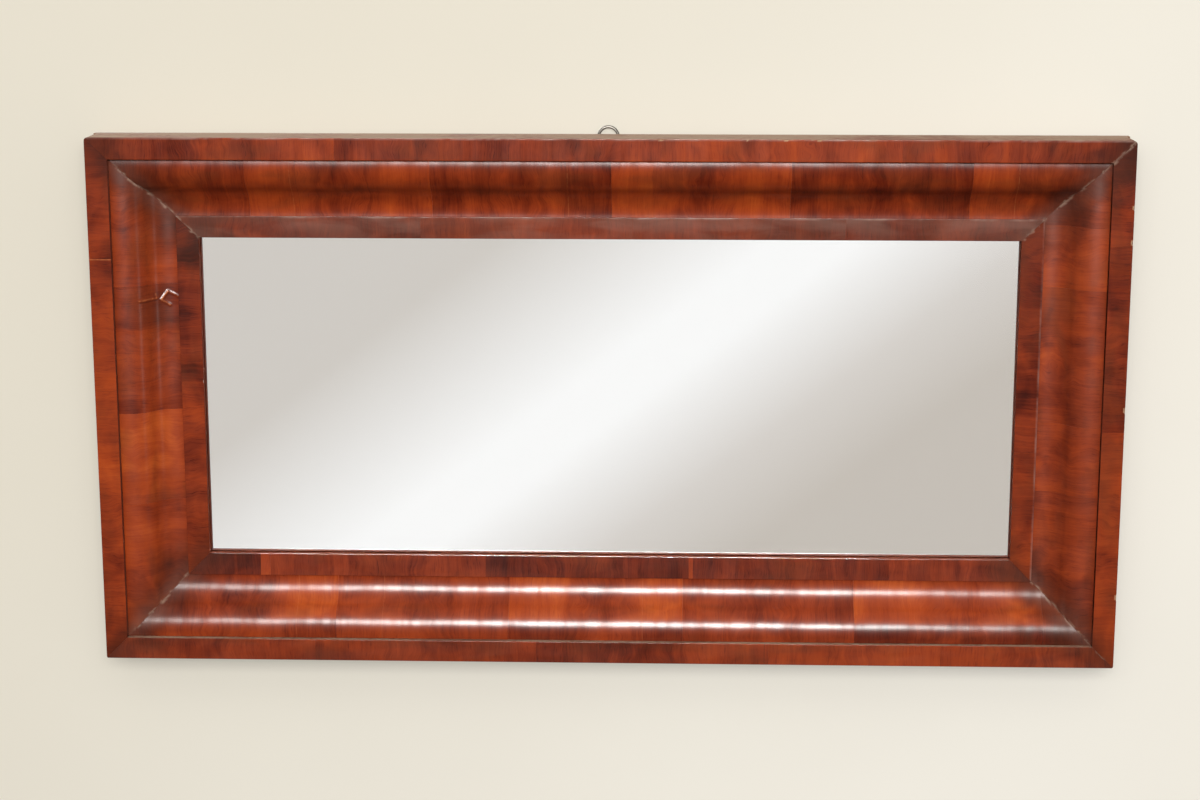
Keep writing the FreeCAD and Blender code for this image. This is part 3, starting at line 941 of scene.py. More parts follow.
@dataclass
class Strip:
    """A strip of one member, run along it with an even section and cut on the mitre at its ends."""

    side: Side
    step: float = 4 * MM
    mitre_gap: float = 0.08 * MM
    tips: Point = (0.0, 0.0)
    arris: float = 0.25 * MM

    SHARP = math.radians(50)
    TIP_ANGLES = (15.0, 30.0, 45.0)
    STRAIGHT, ROUNDING, NEAR = 1e-7, 1e-6, 1e-5

    def outline(self, bm: BMesh, run: float) -> None:
        """Draw the closed section at one place along the member."""
        raise NotImplementedError

    def ring(self, bm: BMesh, run: float, points: Sequence[Point]) -> list[BMEdge]:
        """Draw a closed section through points.

        Args:
            bm: The mesh.
            run: The place along the member.
            points: The points in order, each as distance in and depth.

        Returns:
            The edges, each from its point to the next.
        """
        corners = [bm.verts.new((run, depth, across)) for across, depth in points]
        return [bm.edges.new((a, b)) for a, b in zip(corners, corners[1:] + corners[:1])]

    def sweep(self, bm: BMesh, stops: Sequence[float], fine: Sequence[Stretch] = ()) -> None:
        """Run the section through the stops, round its arrises and divide it into even steps.

        Args:
            bm: The mesh.
            stops: Distances along the member, in order.
            fine: Stretches with their own shorter step, as start, end and step.
        """
        self.outline(bm, stops[0])
        row = bm.edges[:]
        for here, there in zip(stops, stops[1:]):
            made = bmesh.ops.extrude_edge_only(bm, edges=row)["geom"]
            verts = {item for item in made if isinstance(item, BMVert)}
            bmesh.ops.translate(bm, verts=list(verts), vec=(there - here, 0, 0))
            row = [item for item in made if isinstance(item, BMEdge) and verts.issuperset(item.verts)]
        bmesh.ops.recalc_face_normals(bm, faces=bm.faces[:])
        bmesh.ops.bevel(
            bm, geom=[edge for edge in bm.edges if self._is_arris(edge)], offset=self.arris,
            offset_type="OFFSET", segments=3, profile=0.5, affect="EDGES", material=-1, clamp_overlap=True,
        )
        for here, there in zip(stops, stops[1:]):
            middle = (here + there) / 2
            step = min([self.step, *[short for low, high, short in fine if low <= middle <= high]])
            cuts = math.ceil((there - here) / step - self.ROUNDING) - 1
            if cuts > 0:
                rungs = [edge for edge in bm.edges if self._runs(edge) and self._is_at(edge, middle)]
                bmesh.ops.subdivide_edges(bm, edges=rungs, cuts=cuts, use_grid_fill=True)

    def _runs(self, edge: BMEdge) -> bool:
        """Whether an edge runs along the member."""
        way = edge.verts[1].co - edge.verts[0].co
        return abs(way.x) > self.ROUNDING and abs(way.y) + abs(way.z) < self.STRAIGHT

    def _is_arris(self, edge: BMEdge) -> bool:
        """Whether an edge is a sharp one that runs along the member."""
        return edge.is_manifold and edge.calc_face_angle(0.0) > self.SHARP and self._runs(edge)

    def _is_at(self, edge: BMEdge, middle: float) -> bool:
        """Whether an edge has its middle at this distance along the member."""
        return abs((edge.verts[0].co.x + edge.verts[1].co.x) / 2 - middle) < self.NEAR

    def cap(self, bm: BMesh) -> None:
        """Close the open ends."""
        bmesh.ops.holes_fill(bm, edges=[edge for edge in bm.edges if edge.is_boundary], sides=0)

    def cut(self, bm: BMesh, first: bool = True, last: bool = True) -> None:
        """Cut the ends on the mitre, round their worn outer tips, and close them.

        Args:
            bm: The mesh.
            first: Whether the strip reaches the left or upper mitre.
            last: Whether it reaches the right or lower mitre.
        """
        self.cap(bm)
        length, level = MOULDING.length(self.side), math.cos(math.radians(45))
        for reached, end, way, worn in ((first, 0.0, 1, self.tips[0]), (last, length, -1, self.tips[1])):
            planes = [((end + way * self.mitre_gap, 0, 0), (-way * level, 0, level))] if reached else []
            for degrees in self.TIP_ANGLES if reached and worn else ():
                sine, cosine = math.sin(math.radians(degrees)), math.cos(math.radians(degrees))
                spot = (end + way * worn * (1 - sine), 0, worn * (1 - cosine))
                planes.append((spot, (-way * sine, 0, -cosine)))
            for spot, normal in planes:
                bmesh.ops.bisect_plane(
                    bm, geom=bm.verts[:] + bm.edges[:] + bm.faces[:], dist=self.STRAIGHT, plane_co=spot,
                    plane_no=normal, clear_outer=True,
                )
                self.cap(bm)

    def to_mitre(self, point: Vector) -> float:
        """Distance along the member from a point to the nearer mitre."""
        return min(point.x, MOULDING.length(self.side) - point.x) - point.z


@dataclass
class Veneer(Strip):
    """One veneered face of one member, as separate leaves."""

    face: Face = Face.OGEE
    leaves: tuple[Leaf, ...] = ()
    marks: tuple[Mark, ...] = ()
    chips: tuple[Chip, ...] = ()
    splits: tuple[Split, ...] = ()
    seed: float = 0.0
    wave: float = 0.22 * MM
    turned_over: float = 0.0
    veil: float = 0.0
    film: float = 0.0
    waxed: float = 0.0
    mitre_clean: Point = (0.0, 0.0)
    seam_gap: float = 0.06 * MM
    arc_steps: tuple[int, int] = (22, 20)
    flat_steps: int = 8
    profile: list[Point] = field(default_factory=list)

    LAYERS = ("grain", "tint", "wear")
    SEAM_MARGIN = 1 * MM
    SPLIT_STEP, CHIP_STEPS, PROFILE_STEPS = 0.6 * MM, 4, 40
    FIGURE_RISE, FIGURE_FALL, TONE_CHANGE = (0.2, 0.34), (0.74, 0.58), (0.3, 0.7)
    TURN_REACH, TURN_SUM, TURN_SHARE = 3 * MM, 0.9, 0.8
    LIFT_REACH, SPLIT_REACH = (2.4, 0.2), (1.1, 0.3)
    STILL_REACH, VEIL_REACH = 14 * MM, 26 * MM
    FILM_REACH, WAX_REACH = (20 * MM, 1 * MM), (1.5 * MM, 0.3 * MM)
    SWELL, RIPPLE, RIPPLE_SHARE = (0.021, 0.036, 3.7), (0.06, 0.07, 1.9), 0.35
    RAGGED, RAGGED_RATE = (0.7, 0.5), 0.9
    RUBBED, LONG_RUB, SHORT_RUB = (0.75, 0.9, 0.5), (0.045, 2.5), (0.21, 4.5)
    GRAIN_START, SEED_STEP, LEAF_STEP = 2.3, 5.1, 0.13

    @property
    def name(self) -> str:
        """Name of the piece, and of the node that it stands for."""
        return f"{self.side.value}_{self.face.value}_veneer"

    def outline(self, bm: BMesh, run: float) -> None:
        """Draw the closed section of the leaf.

        Args:
            bm: The mesh.
            run: The place along the member.
        """
        if self.face is Face.OGEE:
            self._ogee(bm, run)
        else:
            self._flat(bm, run, *MOULDING.flat(self.face))

    def _ogee(self, bm: BMesh, run: float) -> None:
        """Draw the ogee's front and back, each as two arcs.

        Args:
            bm: The mesh.
            run: The place along the member.
        """
        radius, slope = MOULDING.radius(), MOULDING.slope()
        roll_sine, lift_sine = radius * math.sin(MOULDING.roll), radius * math.sin(MOULDING.lift)
        convex_depth = MOULDING.ogee_outer_face - radius * math.cos(MOULDING.roll)
        concave_depth = MOULDING.ogee_inner_face + radius * math.cos(MOULDING.lift)
        convex = Vector((run, convex_depth, MOULDING.ogee_start + roll_sine))
        concave = Vector((run, concave_depth, MOULDING.ogee_end - lift_sine))
        ends = []
        for sunk in (0.0, MOULDING.veneer):
            roll, lift = math.asin(roll_sine / (radius - sunk)), math.asin(lift_sine / (radius + sunk))
            first = bm.verts.new(convex + Vector((0, math.cos(roll), -math.sin(roll))) * (radius - sunk))
            end = [first]
            turns = ((convex, roll + slope, self.arc_steps[0]), (concave, -slope - lift, self.arc_steps[1]))
            for centre, angle, steps in turns:
                made = bmesh.ops.spin(bm, geom=end, cent=centre, axis=(1, 0, 0), angle=angle, steps=steps)
                end = [item for item in made["geom_last"] if isinstance(item, BMVert)]
            ends.append((first, end[0]))
        for front, back in zip(*ends):
            bm.edges.new((front, back))

    def _flat(self, bm: BMesh, run: float, outer: Point, inner: Point) -> None:
        """Draw a flat leaf's section from its outer to its inner edge.

        Args:
            bm: The mesh.
            run: The place along the member.
            outer: Outer edge of its face, as distance in and depth.
            inner: Inner edge of its face.
        """
        points = [outer, inner, *((across, depth - MOULDING.veneer) for across, depth in (inner, outer))]
        edges = self.ring(bm, run, points)
        bmesh.ops.subdivide_edges(bm, edges=[edges[0], edges[2]], cuts=self.flat_steps)

    def inner_edge(self) -> float:
        """Distance from the outer edge of the member to the inner edge of this face."""
        return MOULDING.ogee_end if self.face is Face.OGEE else MOULDING.flat(self.face)[1][0]

    def developed(self, across: float) -> float:
        """Distance over the face from its outer edge to a place across the member.

        Args:
            across: Distance of the place from the member's outer edge.

        Returns:
            The distance, in metres.
        """
        if self.face is not Face.OGEE:
            return across - MOULDING.flat(self.face)[0][0]
        if not self.profile:
            radius, slope = MOULDING.radius(), MOULDING.slope()
            swing = MOULDING.roll + slope
            start = MOULDING.ogee_start + radius * math.sin(MOULDING.roll)
            stop = MOULDING.ogee_end - radius * math.sin(MOULDING.lift)
            for share in range(self.PROFILE_STEPS + 1):
                angle = swing * share / self.PROFILE_STEPS
                self.profile.append((start + radius * math.sin(angle - MOULDING.roll), radius * angle))
            for share in range(1, self.PROFILE_STEPS + 1):
                angle = (slope + MOULDING.lift) * share / self.PROFILE_STEPS
                self.profile.append((stop - radius * math.sin(slope - angle), radius * (swing + angle)))
        place = bisect.bisect_left(self.profile, (across, 0.0))
        if place == 0:
            return 0.0
        if place == len(self.profile):
            return self.profile[-1][1]
        (low, below), (high, above) = self.profile[place - 1], self.profile[place]
        return below + (above - below) * (across - low) / (high - low)

    def facing(self, point: Vector) -> Vector:
        """Way that the face looks at a point, in the member's own frame.

        Args:
            point: The point.

        Returns:
            The face's unit normal.
        """
        if self.face is not Face.OGEE:
            return Vector((0, 1, 0))
        radius = MOULDING.radius()
        middle = MOULDING.ogee_start + radius * (math.sin(MOULDING.roll) + math.sin(MOULDING.slope()))
        if point.z < middle:
            sine = (point.z - MOULDING.ogee_start) / radius - math.sin(MOULDING.roll)
        else:
            sine = (MOULDING.ogee_end - point.z) / radius - math.sin(MOULDING.lift)
        sine = max(-1.0, min(1.0, sine))
        return Vector((0, math.sqrt(1 - sine * sine), sine))

    def build(self) -> BMesh:
        """Model all the leaves.

        Returns:
            The mesh, in the mirror's frame.
        """
        whole = bmesh.new()
        for layer in self.LAYERS:
            whole.verts.layers.float_vector.new(layer)
        for number, leaf in enumerate(self.leaves):
            self._leaf(whole, leaf, number)
        bmesh.ops.transform(whole, matrix=MOULDING.placing(self.side), verts=whole.verts[:])
        return whole

    def _leaf(self, whole: BMesh, leaf: Leaf, number: int) -> None:
        """Model one leaf and add it to the others.

        Args:
            whole: The mesh of all the leaves.
            leaf: The leaf.
            number: Its place in the row.
        """
        first, last = number == 0, number == len(self.leaves) - 1
        start = leaf.start * MM + (0 if first else self.seam_gap)
        end = leaf.end * MM - (0 if last else self.seam_gap)
        stops, fine = {start, end}, []
        for mark in self.marks:
            places = [(mark.place + offset) * MM for offset in (-mark.reach, 0.0, mark.reach)]
            low, high = start + self.SEAM_MARGIN, end - self.SEAM_MARGIN
            stops.update(place for place in places if low < place < high)
        for chip in self.chips:
            low, high = (chip.place - chip.reach) * MM, (chip.place + chip.reach) * MM
            if low > start and high < end:
                stops |= {low, high}
                fine.append((low, high, chip.reach * MM / self.CHIP_STEPS))
        if self.splits:
            low = min(split.stretch()[0] for split in self.splits) * MM
            high = max(split.stretch()[1] for split in self.splits) * MM
            stops |= {place for place in (low, high) if start < place < end}
            fine.append((low, high, self.SPLIT_STEP))
        bm = bmesh.new()
        layers = [bm.verts.layers.float_vector.new(layer) for layer in self.LAYERS]
        self.sweep(bm, sorted(stops), fine)
        self.cut(bm, start < self.inner_edge(), end > MOULDING.length(self.side) - self.inner_edge())
        for vert in bm.verts:
            *values, moved = self._state(vert.co, leaf, number)
            for layer, value in zip(layers, values):
                vert[layer] = value
            vert.co = moved
        mesh = bpy.data.meshes.new("leaf")
        bm.to_mesh(mesh)
        bm.free()
        whole.from_mesh(mesh)
        bpy.data.meshes.remove(mesh)

    def _state(self, point: Vector, leaf: Leaf, number: int) -> tuple[Vector, Vector, Vector, Vector]:
        """Grain coordinates, tint, wear and final place of one point of a leaf.

        Args:
            point: The point, in the member's own frame.
            leaf: Its leaf.
            number: The leaf's place in the row.

        Returns:
            The grain, tint and wear vectors, and the moved point.
        """
        run, across = point.x / MM, self.developed(point.z)
        along = leaf.end - run if leaf.from_end else run - leaf.start
        tone, figured = self._tone(leaf, along, across)
        line = sum(mark.weight * max(0.0, 1 - abs(run - mark.place) / mark.reach) for mark in self.marks)
        lift = 0.0
        # Splits add pale and dark lines: the crack itself, with painted highlight on lifted edges and painted
        # shade under them.
        for split in self.splits:
            away = split.away((run, across / MM))
            lift = max(lift, split.lift * smooth(away, *self.LIFT_REACH))
            line += split.weight * smooth(away, *self.SPLIT_REACH)
        face = self.facing(point)
        moved = point.copy()
        chipped = 0.0
        for chip in self.chips:
            reach = max(0.0, 1 - ((run - chip.place) / chip.reach) ** 2)
            ragged = noise.noise(Vector((run * self.RAGGED_RATE, across / MM, self.seed)))
            sunk = chip.depth * MM * reach * (self.RAGGED[0] + self.RAGGED[1] * ragged) - point.z
            if reach > 0 and sunk > 0:
                moved.z += sunk
                chipped = max(chipped, min(1.0, reach * 2))
        still = smooth(self.to_mitre(point), 0, self.STILL_REACH)
        swell, ripple = (
            noise.noise(Vector((run * along_rate, across / MM * across_rate, self.seed + number * apart)))
            for along_rate, across_rate, apart in (self.SWELL, self.RIPPLE)
        )
        swell += self.RIPPLE_SHARE * ripple
        if self.face is Face.BAND:
            swell, still = -0.5 - 0.5 * swell, 1.0
        moved += face * (self.wave * swell * still + lift * MM)
        clean = self.mitre_clean[0 if point.x < MOULDING.length(self.side) / 2 else 1]
        layer = self.GRAIN_START + self.seed * self.SEED_STEP + number * self.LEAF_STEP
        grain = Vector((along * MM, across, layer))
        tint = Vector((tone, line, self._haze(point, run, across)))
        wear = Vector((figured * leaf.figure, self.to_mitre(point) + clean, chipped))
        return grain, tint, wear, moved

    def _tone(self, leaf: Leaf, along: float, across: float) -> Point:
        """Tone of a leaf at a place, with a painted sheen where it is turned over near the outer edge, and
        how much of its figure shows there.

        Args:
            leaf: The leaf.
            along: Distance from the end where its figure begins, in millimetres.
            across: Distance over the face from its outer edge.

        Returns:
            The tone and the share of the figure.
        """
        length = leaf.end - leaf.start
        rise, fall, change = (
            smooth(along, start * length, end * length)
            for start, end in (self.FIGURE_RISE, self.FIGURE_FALL, self.TONE_CHANGE)
        )
        figured = rise * fall
        first, middle, last = reversed(leaf.tones) if leaf.from_end else leaf.tones
        edge_tone = first + (last - first) * change
        tone = edge_tone + (middle - edge_tone) * figured
        # Painted sheen: near the outer edge the tone is turned over, bright for dark, standing for the wood's
        # sheen that changes as the convex roll turns to the light.
        if self.turned_over:
            turn = self.turned_over * MM
            flip = smooth(across, turn + self.TURN_REACH, turn - self.TURN_REACH)
            tone += (self.TURN_SUM - 2 * tone) * self.TURN_SHARE * flip
        return tone, figured

    def _haze(self, point: Vector, run: float, across: float) -> float:
        """How much pale film lies on a point: dull film and old wax, a painted sheen towards the mitres of
        the ogee, and a painted highlight on the outer arris.

        Args:
            point: The point, in the member's own frame.
            run: Its distance along the member, in millimetres.
            across: Its distance over the face from the outer edge.

        Returns:
            The film's share.
        """
        # On the ogee the film grows towards the mitres: partly wax and dust, partly a painted sheen where the
        # highlights fade out.
        if self.face is Face.OGEE:
            haze = self.film + self.veil * smooth(self.to_mitre(point), self.VEIL_REACH, 0.0)
        else:
            haze = self.film + self.veil * (0.5 + 0.5 * smooth(across, *self.FILM_REACH))
        # Pale along the outer edge: partly rubbed wax, partly a painted highlight where the arris catches the
        # light.
        level, long_share, short_share = self.RUBBED
        long_rub, short_rub = (
            noise.noise(Vector((run * rate, self.seed, layer)))
            for rate, layer in (self.LONG_RUB, self.SHORT_RUB)
        )
        rubbed = self.waxed * (level + long_share * long_rub + short_share * short_rub)
        return max(haze, rubbed * smooth(across, *self.WAX_REACH))


@dataclass
class Fillet(Strip):
    """A plain strip under a band: the outer fillet, or the sight fillet that holds the glass.

    The joint between the outer fillet and the ogee stands open by the gap, give or take its wave.
    """

    face: Face = Face.BAND
    gap: float = 0.0
    gap_wave: float = 0.0
    seed: float = 0.0

    CLOSED_END, OPEN_END = 20 * MM, 90 * MM
    WAVE_RATE, WAVE_LAYER = 9, 0.5

    @property
    def name(self) -> str:
        """Name of the piece, and of the node that it stands for."""
        return f"{self.side.value}_{'outer' if self.face is Face.BAND else 'sight'}_fillet"

    def outline(self, bm: BMesh, run: float) -> None:
        """Draw the closed section of the fillet.

        Args:
            bm: The mesh.
            run: The place along the member.
        """
        outer, inner = MOULDING.flat(self.face, MOULDING.veneer + MOULDING.glue)
        base = MOULDING.base_front
        self.ring(bm, run, [(outer[0], base), outer, inner, (inner[0], base)])

    def build(self) -> BMesh:
        """Model the fillet.

        Returns:
            The mesh, in the mirror's frame.
        """
        bm = bmesh.new()
        self.sweep(bm, (0.0, MOULDING.length(self.side)))
        self.cut(bm)
        for vert in bm.verts:
            if self.face is Face.BAND and vert.co.z > MOULDING.ogee_start / 2:
                vert.co.z -= self._open(vert.co.x)
        bmesh.ops.transform(bm, matrix=MOULDING.placing(self.side), verts=bm.verts[:])
        return bm

    def _open(self, run: float) -> float:
        """Width of the open joint at a distance along the member."""
        still = smooth(min(run, MOULDING.length(self.side) - run), self.CLOSED_END, self.OPEN_END)
        wave = noise.noise(Vector((run * self.WAVE_RATE, self.seed, self.WAVE_LAYER)))
        return still * (self.gap + self.gap_wave * wave)


@dataclass
class Pane:
    """Plate glass in the rabbet, with ground edges."""

    name: str = "mirror_glass"
    film: float = 0.05 * MM
    ground: float = 0.4 * MM

    def build(self) -> BMesh:
        """Model the plate.

        Returns:
            The mesh, in the mirror's frame.
        """
        low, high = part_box(self.name)
        size = high - low
        size.y -= 2 * self.film
        bm = bmesh.new()
        bmesh.ops.create_cube(bm, size=1.0)
        placing = Matrix.Translation((low + high) / 2) @ Matrix.Diagonal((*size, 1.0))
        bmesh.ops.transform(bm, matrix=placing, verts=bm.verts[:])
        bmesh.ops.bevel(
            bm, geom=bm.edges[:], offset=self.ground, offset_type="OFFSET", segments=2, profile=0.5,
            affect="EDGES", material=-1,
        )
        return bm


def leaves(
    side: Side, seams: Iterable[float], tones: Iterable[Tones], first_from_end: bool = True,
    figure: float = 0.6,
) -> tuple[Leaf, ...]:
    """A row of leaves, turned over in turn.

    Args:
        side: The member.
        seams: Places of the seams along it, in millimetres.
        tones: Tones of each leaf, from the left or the top.
        first_from_end: Whether the first leaf's figure runs from its end.
        figure: How strongly the leaves are figured.

    Returns:
        The leaves in order.
    """
    places = [0.0, *seams, MOULDING.length(side) / MM]
    row = []
    for number, (start, end, shades) in enumerate(zip(places, places[1:], tones)):
        row.append(Leaf(start, end, shades, (number % 2 == 0) == first_from_end, figure))
    return tuple(row)


def marks(pale: Iterable[float] = (), dark: Iterable[float] = (), weight: float = 0.5) -> tuple[Mark, ...]:
    """Pale and dark lines of one weight, at places along the member in millimetres."""
    return tuple(Mark(place, weight) for place in pale) + tuple(Mark(place, -weight) for place in dark)


@dataclass
class VeneeredFrame:
    """The four veneered members with their fillets, rails and cores."""

    cross_grain: CrossGrain
    pine_grain: PineGrain
    ageing: Ageing

    worn_corners: dict[Side, Point] = field(default_factory=lambda: {
        Side.TOP: (4 * MM, 4.5 * MM), Side.BOTTOM: (2 * MM, 2.5 * MM),
        Side.LEFT: (4 * MM, 2 * MM), Side.RIGHT: (4.5 * MM, 2.5 * MM),
    })

    def ogees(self) -> list[Veneer]:
        """The four ogees, leaf by leaf.

        Returns:
            The veneers of the top, bottom, left and right.
        """
        top, bottom, left, right = Side.TOP, Side.BOTTOM, Side.LEFT, Side.RIGHT
        # The pale splits are partly the pale crack and partly a painted highlight on the lifted edges; the
        # dark one, with a weight below 0, is painted shade under a lifted edge.
        lifted = (
            Split((169.4, 53.1), (161, 59.9), 0.9, 0.7), Split((161, 59.9), (166, 70.5), 0.3, 0.45),
            Split((169.4, 53.1), (175.2, 61.9), 0.65, 0.6), Split((168.4, 25.5), (167.5, 47.7), 0.45, 0.3),
            Split((170.4, 27), (169.8, 48), -0.5), Split((163, 47), (167.5, 48), 0.4),
        )
        top_row = leaves(top, (159.6, 346.5, 529.2, 709.8, 890.4), (
            (0.5, 0.48, 0.43), (0.64, 0.48, 0.62), (0.42, 0.52, 0.34), (0.68, 0.46, 0.64), (0.35, 0.36, 0.33),
            (0.64, 0.44, 0.34),
        ))
        bottom_row = leaves(bottom, (241.5, 422.1, 603.8, 782.3, 977.6), (
            (0.42, 0.44, 0.74), (0.5, 0.52, 0.54), (0.82, 0.6, 0.79), (0.5, 0.56, 0.52), (0.8, 0.66, 0.76),
            (0.66, 0.6, 0.5),
        ))
        left_row = leaves(left, (152.9, 285, 381.1), (
            (0.5, 0.56, 0.56), (0.44, 0.62, 0.46), (0.86, 0.82, 0.72), (0.62, 0.56, 0.66),
        ), False)
        right_row = leaves(right, (88.5, 152.3, 292.7, 365.8), (
            (0.42, 0.52, 0.5), (0.66, 0.7, 0.72), (0.56, 0.54, 0.5), (0.56, 0.56, 0.52), (0.52, 0.48, 0.4),
        ), figure=0.9)
        top_marks = marks((205, 485, 936), (115, 211, 572, 632, 780, 846), 0.32)
        bottom_marks = marks((200, 290, 562), (647, 717, 906), 0.32)
        right_marks = marks((), (89.4, 151.4, 293.5, 366.6), 0.85)
        return [
            Veneer(top, seed=1.0, leaves=top_row, marks=top_marks, veil=0.12),
            # The bottom ogee's tone is turned over near its outer edge: painted sheen.
            Veneer(bottom, seed=2.0, leaves=bottom_row, marks=bottom_marks, veil=0.16, turned_over=20.0),
            Veneer(left, seed=3.0, leaves=left_row, splits=lifted, veil=0.16, arc_steps=(44, 40)),
            Veneer(right, seed=4.0, leaves=right_row, marks=right_marks, veil=0.12, film=0.025),
        ]

    def bands(self) -> list[Veneer]:
        """The four outer bands, leaf by leaf.

        Returns:
            The veneers of the top, bottom, left and right.
        """
        top, bottom, left, right = Side.TOP, Side.BOTTOM, Side.LEFT, Side.RIGHT
        top_row = leaves(top, (252, 427.4, 579.6, 819), (
            (0.36, 0.44, 0.6), (0.42, 0.42, 0.38), (0.4, 0.4, 0.58), (0.66, 0.52, 0.5), (0.38, 0.35, 0.36),
        ), figure=0.8)
        bottom_row = leaves(bottom, (220.5, 451.5, 693, 871.5), (
            (0.38, 0.42, 0.4), (0.38, 0.4, 0.34), (0.18, 0.24, 0.5), (0.52, 0.54, 0.52), (0.48, 0.46, 0.4),
        ), False)
        left_row = leaves(left, (122.9, 260.4), ((0.36, 0.4, 0.42), (0.38, 0.54, 0.58), (0.7, 0.44, 0.44)))
        right_row = leaves(right, (106.5, 295.9), (
            (0.3, 0.34, 0.36), (0.31, 0.34, 0.4), (0.64, 0.5, 0.5),
        ), False)
        top_chips = (
            Chip(579, 8, 0.7), Chip(665, 6, 0.5), Chip(702.5, 8, 0.8), Chip(735.5, 8, 0.9), Chip(789, 6, 0.6),
        )
        right_chips = (Chip(67, 3, 1.6), Chip(102, 3, 1.8), Chip(273, 4, 1.2), Chip(470, 4, 1.2))
        worn = {"face": Face.BAND, "arris": 0.45 * MM}
        return [
            Veneer(
                top, face=Face.BAND, seed=5.0, leaves=top_row, chips=top_chips, arris=0.8 * MM, waxed=0.8,
                mitre_clean=(4 * MM, 0.0),
            ),
            Veneer(
                bottom, seed=6.0, leaves=bottom_row, marks=marks((), (689,), 0.8), film=0.05,
                mitre_clean=(4 * MM, 1 * MM), **worn,
            ),
            Veneer(
                left, seed=7.0, leaves=left_row, marks=marks((124, 261.4), (), 0.8),
                mitre_clean=(4 * MM, 4 * MM), **worn,
            ),
            Veneer(
                right, seed=8.0, leaves=right_row, marks=marks((107.5,), (), 0.8), chips=right_chips,
                mitre_clean=(0.0, 1 * MM), **worn,
            ),
        ]

    def sights(self) -> list[Veneer]:
        """The four sight bands, leaf by leaf.

        Returns:
            The veneers of the top, bottom, left and right.
        """
        top, bottom, left, right = Side.TOP, Side.BOTTOM, Side.LEFT, Side.RIGHT
        top_row = leaves(top, (333.9, 550.2, 766.5), (
            (0.28, 0.26, 0.28), (0.48, 0.44, 0.38), (0.34, 0.34, 0.36), (0.34, 0.3, 0.28),
        ), figure=0.5)
        bottom_row = leaves(bottom, (159.6, 170.1, 396.9, 610.1, 614.3, 819), (
            (0.22, 0.26, 0.2), (0.7, 0.72, 0.7), (0.38, 0.31, 0.5), (0.28, 0.27, 0.2), (0.72, 0.74, 0.72),
            (0.32, 0.34, 0.32), (0.42, 0.4, 0.3),
        ), figure=0.5)
        left_row = leaves(left, (184,), ((0.2, 0.24, 0.28), (0.32, 0.38, 0.42)), figure=0.5)
        right_row = leaves(right, (324.9,), ((0.42, 0.44, 0.34), (0.48, 0.54, 0.54)), False, 0.5)
        worn = {"face": Face.SIGHT, "arris": 0.35 * MM}
        lower_clean = (0.0, 4 * MM)
        return [
            Veneer(top, seed=9.0, leaves=top_row, veil=0.4, waxed=0.85, **worn),
            Veneer(
                bottom, face=Face.SIGHT, seed=10.0, leaves=bottom_row, arris=0.06 * MM, film=0.03,
                mitre_clean=(4 * MM, 4 * MM),
            ),
            Veneer(left, seed=11.0, leaves=left_row, mitre_clean=lower_clean, **worn),
            Veneer(right, seed=12.0, leaves=right_row, waxed=0.5, mitre_clean=lower_clean, **worn),
        ]

    def fillets(self, side: Side) -> list[Fillet]:
        """The outer and the sight fillet of one member.

        Args:
            side: The member.

        Returns:
            The two fillets.
        """
        gap, gap_wave = (1.3 * MM, 1.6 * MM) if side is Side.RIGHT else (0.25 * MM, 0.3 * MM)
        outer = Fillet(
            side, face=Face.BAND, arris=0.6 * MM, tips=self.worn_corners[side], gap=gap, gap_wave=gap_wave,
            seed=len(side.value),
        )
        return [outer, Fillet(side, face=Face.SIGHT, arris=0.3 * MM)]

    def pine(
        self, side: Side, name: str, early: Colour, late: Colour, drift: float, **rest: object,
    ) -> Material:
        """Finish of the pine of one member.

        Args:
            side: The member.
            name: The finish's name, after the member's.
            early: Colour of the soft part of each ring.
            late: Colour of the hard part.
            drift: How far the grain is shifted for each letter of the member's name, in metres.
            **rest: Other fields of the finish.

        Returns:
            The material.
        """
        upright = side in (Side.LEFT, Side.RIGHT)
        return PineFinish(
            f"{side.value}_{name}", self.pine_grain, self.ageing, early, late, upright=upright,
            shift=drift * len(side.value), **rest,
        ).material()

    def build(self) -> list[Object]:
        """Model and dress the veneers, fillets, rails and cores.

        Returns:
            The new pieces.
        """
        pieces = []
        flat_polish = VeneerFinish("mahogany_veneer", self.cross_grain).material()
        ogee_polish = VeneerFinish("ogee_veneer", self.cross_grain, sheen=0.25).material()
        top_polish = VeneerFinish("top_ogee_veneer", self.cross_grain, sheen=0.27, gloss=0.36).material()
        for veneer in self.ogees() + self.bands() + self.sights():
            polish = flat_polish
            if veneer.face is Face.OGEE:
                polish = top_polish if veneer.side is Side.TOP else ogee_polish
            elif veneer.face is Face.BAND:
                veneer.tips = self.worn_corners[veneer.side]
            piece = finished(veneer.build(), f"{veneer.name}_leaves", polish)
            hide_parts(veneer.name)
            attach(piece, "frame")
            pieces.append(piece)
        for side in Side:
            stained = self.pine(
                side, "stained_pine", srgb(128, 62, 40), srgb(92, 43, 28), 0.31, roughness=0.78,
                rubbed=srgb(140, 84, 56), dust=srgb(160, 137, 114),
            )
            # Painted light: the lip is a brighter, redder copy of the stained pine, to lift the shade that it
            # lies in.
            lip = self.pine(
                side, "sight_lip", srgb(156, 68, 40), srgb(126, 52, 31), 0.23, roughness=0.75, dusting=0.06,
                soiling=0.15,
            )
            raw = self.pine(
                side, "old_pine", srgb(150, 108, 70), srgb(112, 74, 46), 0.17, stain=srgb(84, 42, 28),
                wander=0.05,
            )
            for fillet in self.fillets(side):
                wood = stained if fillet.face is Face.BAND else lip
                piece = finished(fillet.build(), f"{fillet.name}_strip", wood)
                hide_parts(fillet.name)
                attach(piece, "frame")
                pieces.append(piece)
            for part in ("base_rail", "ogee_core"):
                paint(f"{side.value}_{part}", raw)
        return pieces


def paint(node: str, material: Material) -> None:
    """Give a node of the frame its finish.

    Args:
        node: The node's name.
        material: The finish.
    """
    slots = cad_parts[node].material_slots
    for slot in slots:
        slot.material = material
    if not slots:
        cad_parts[node].data.materials.append(material)


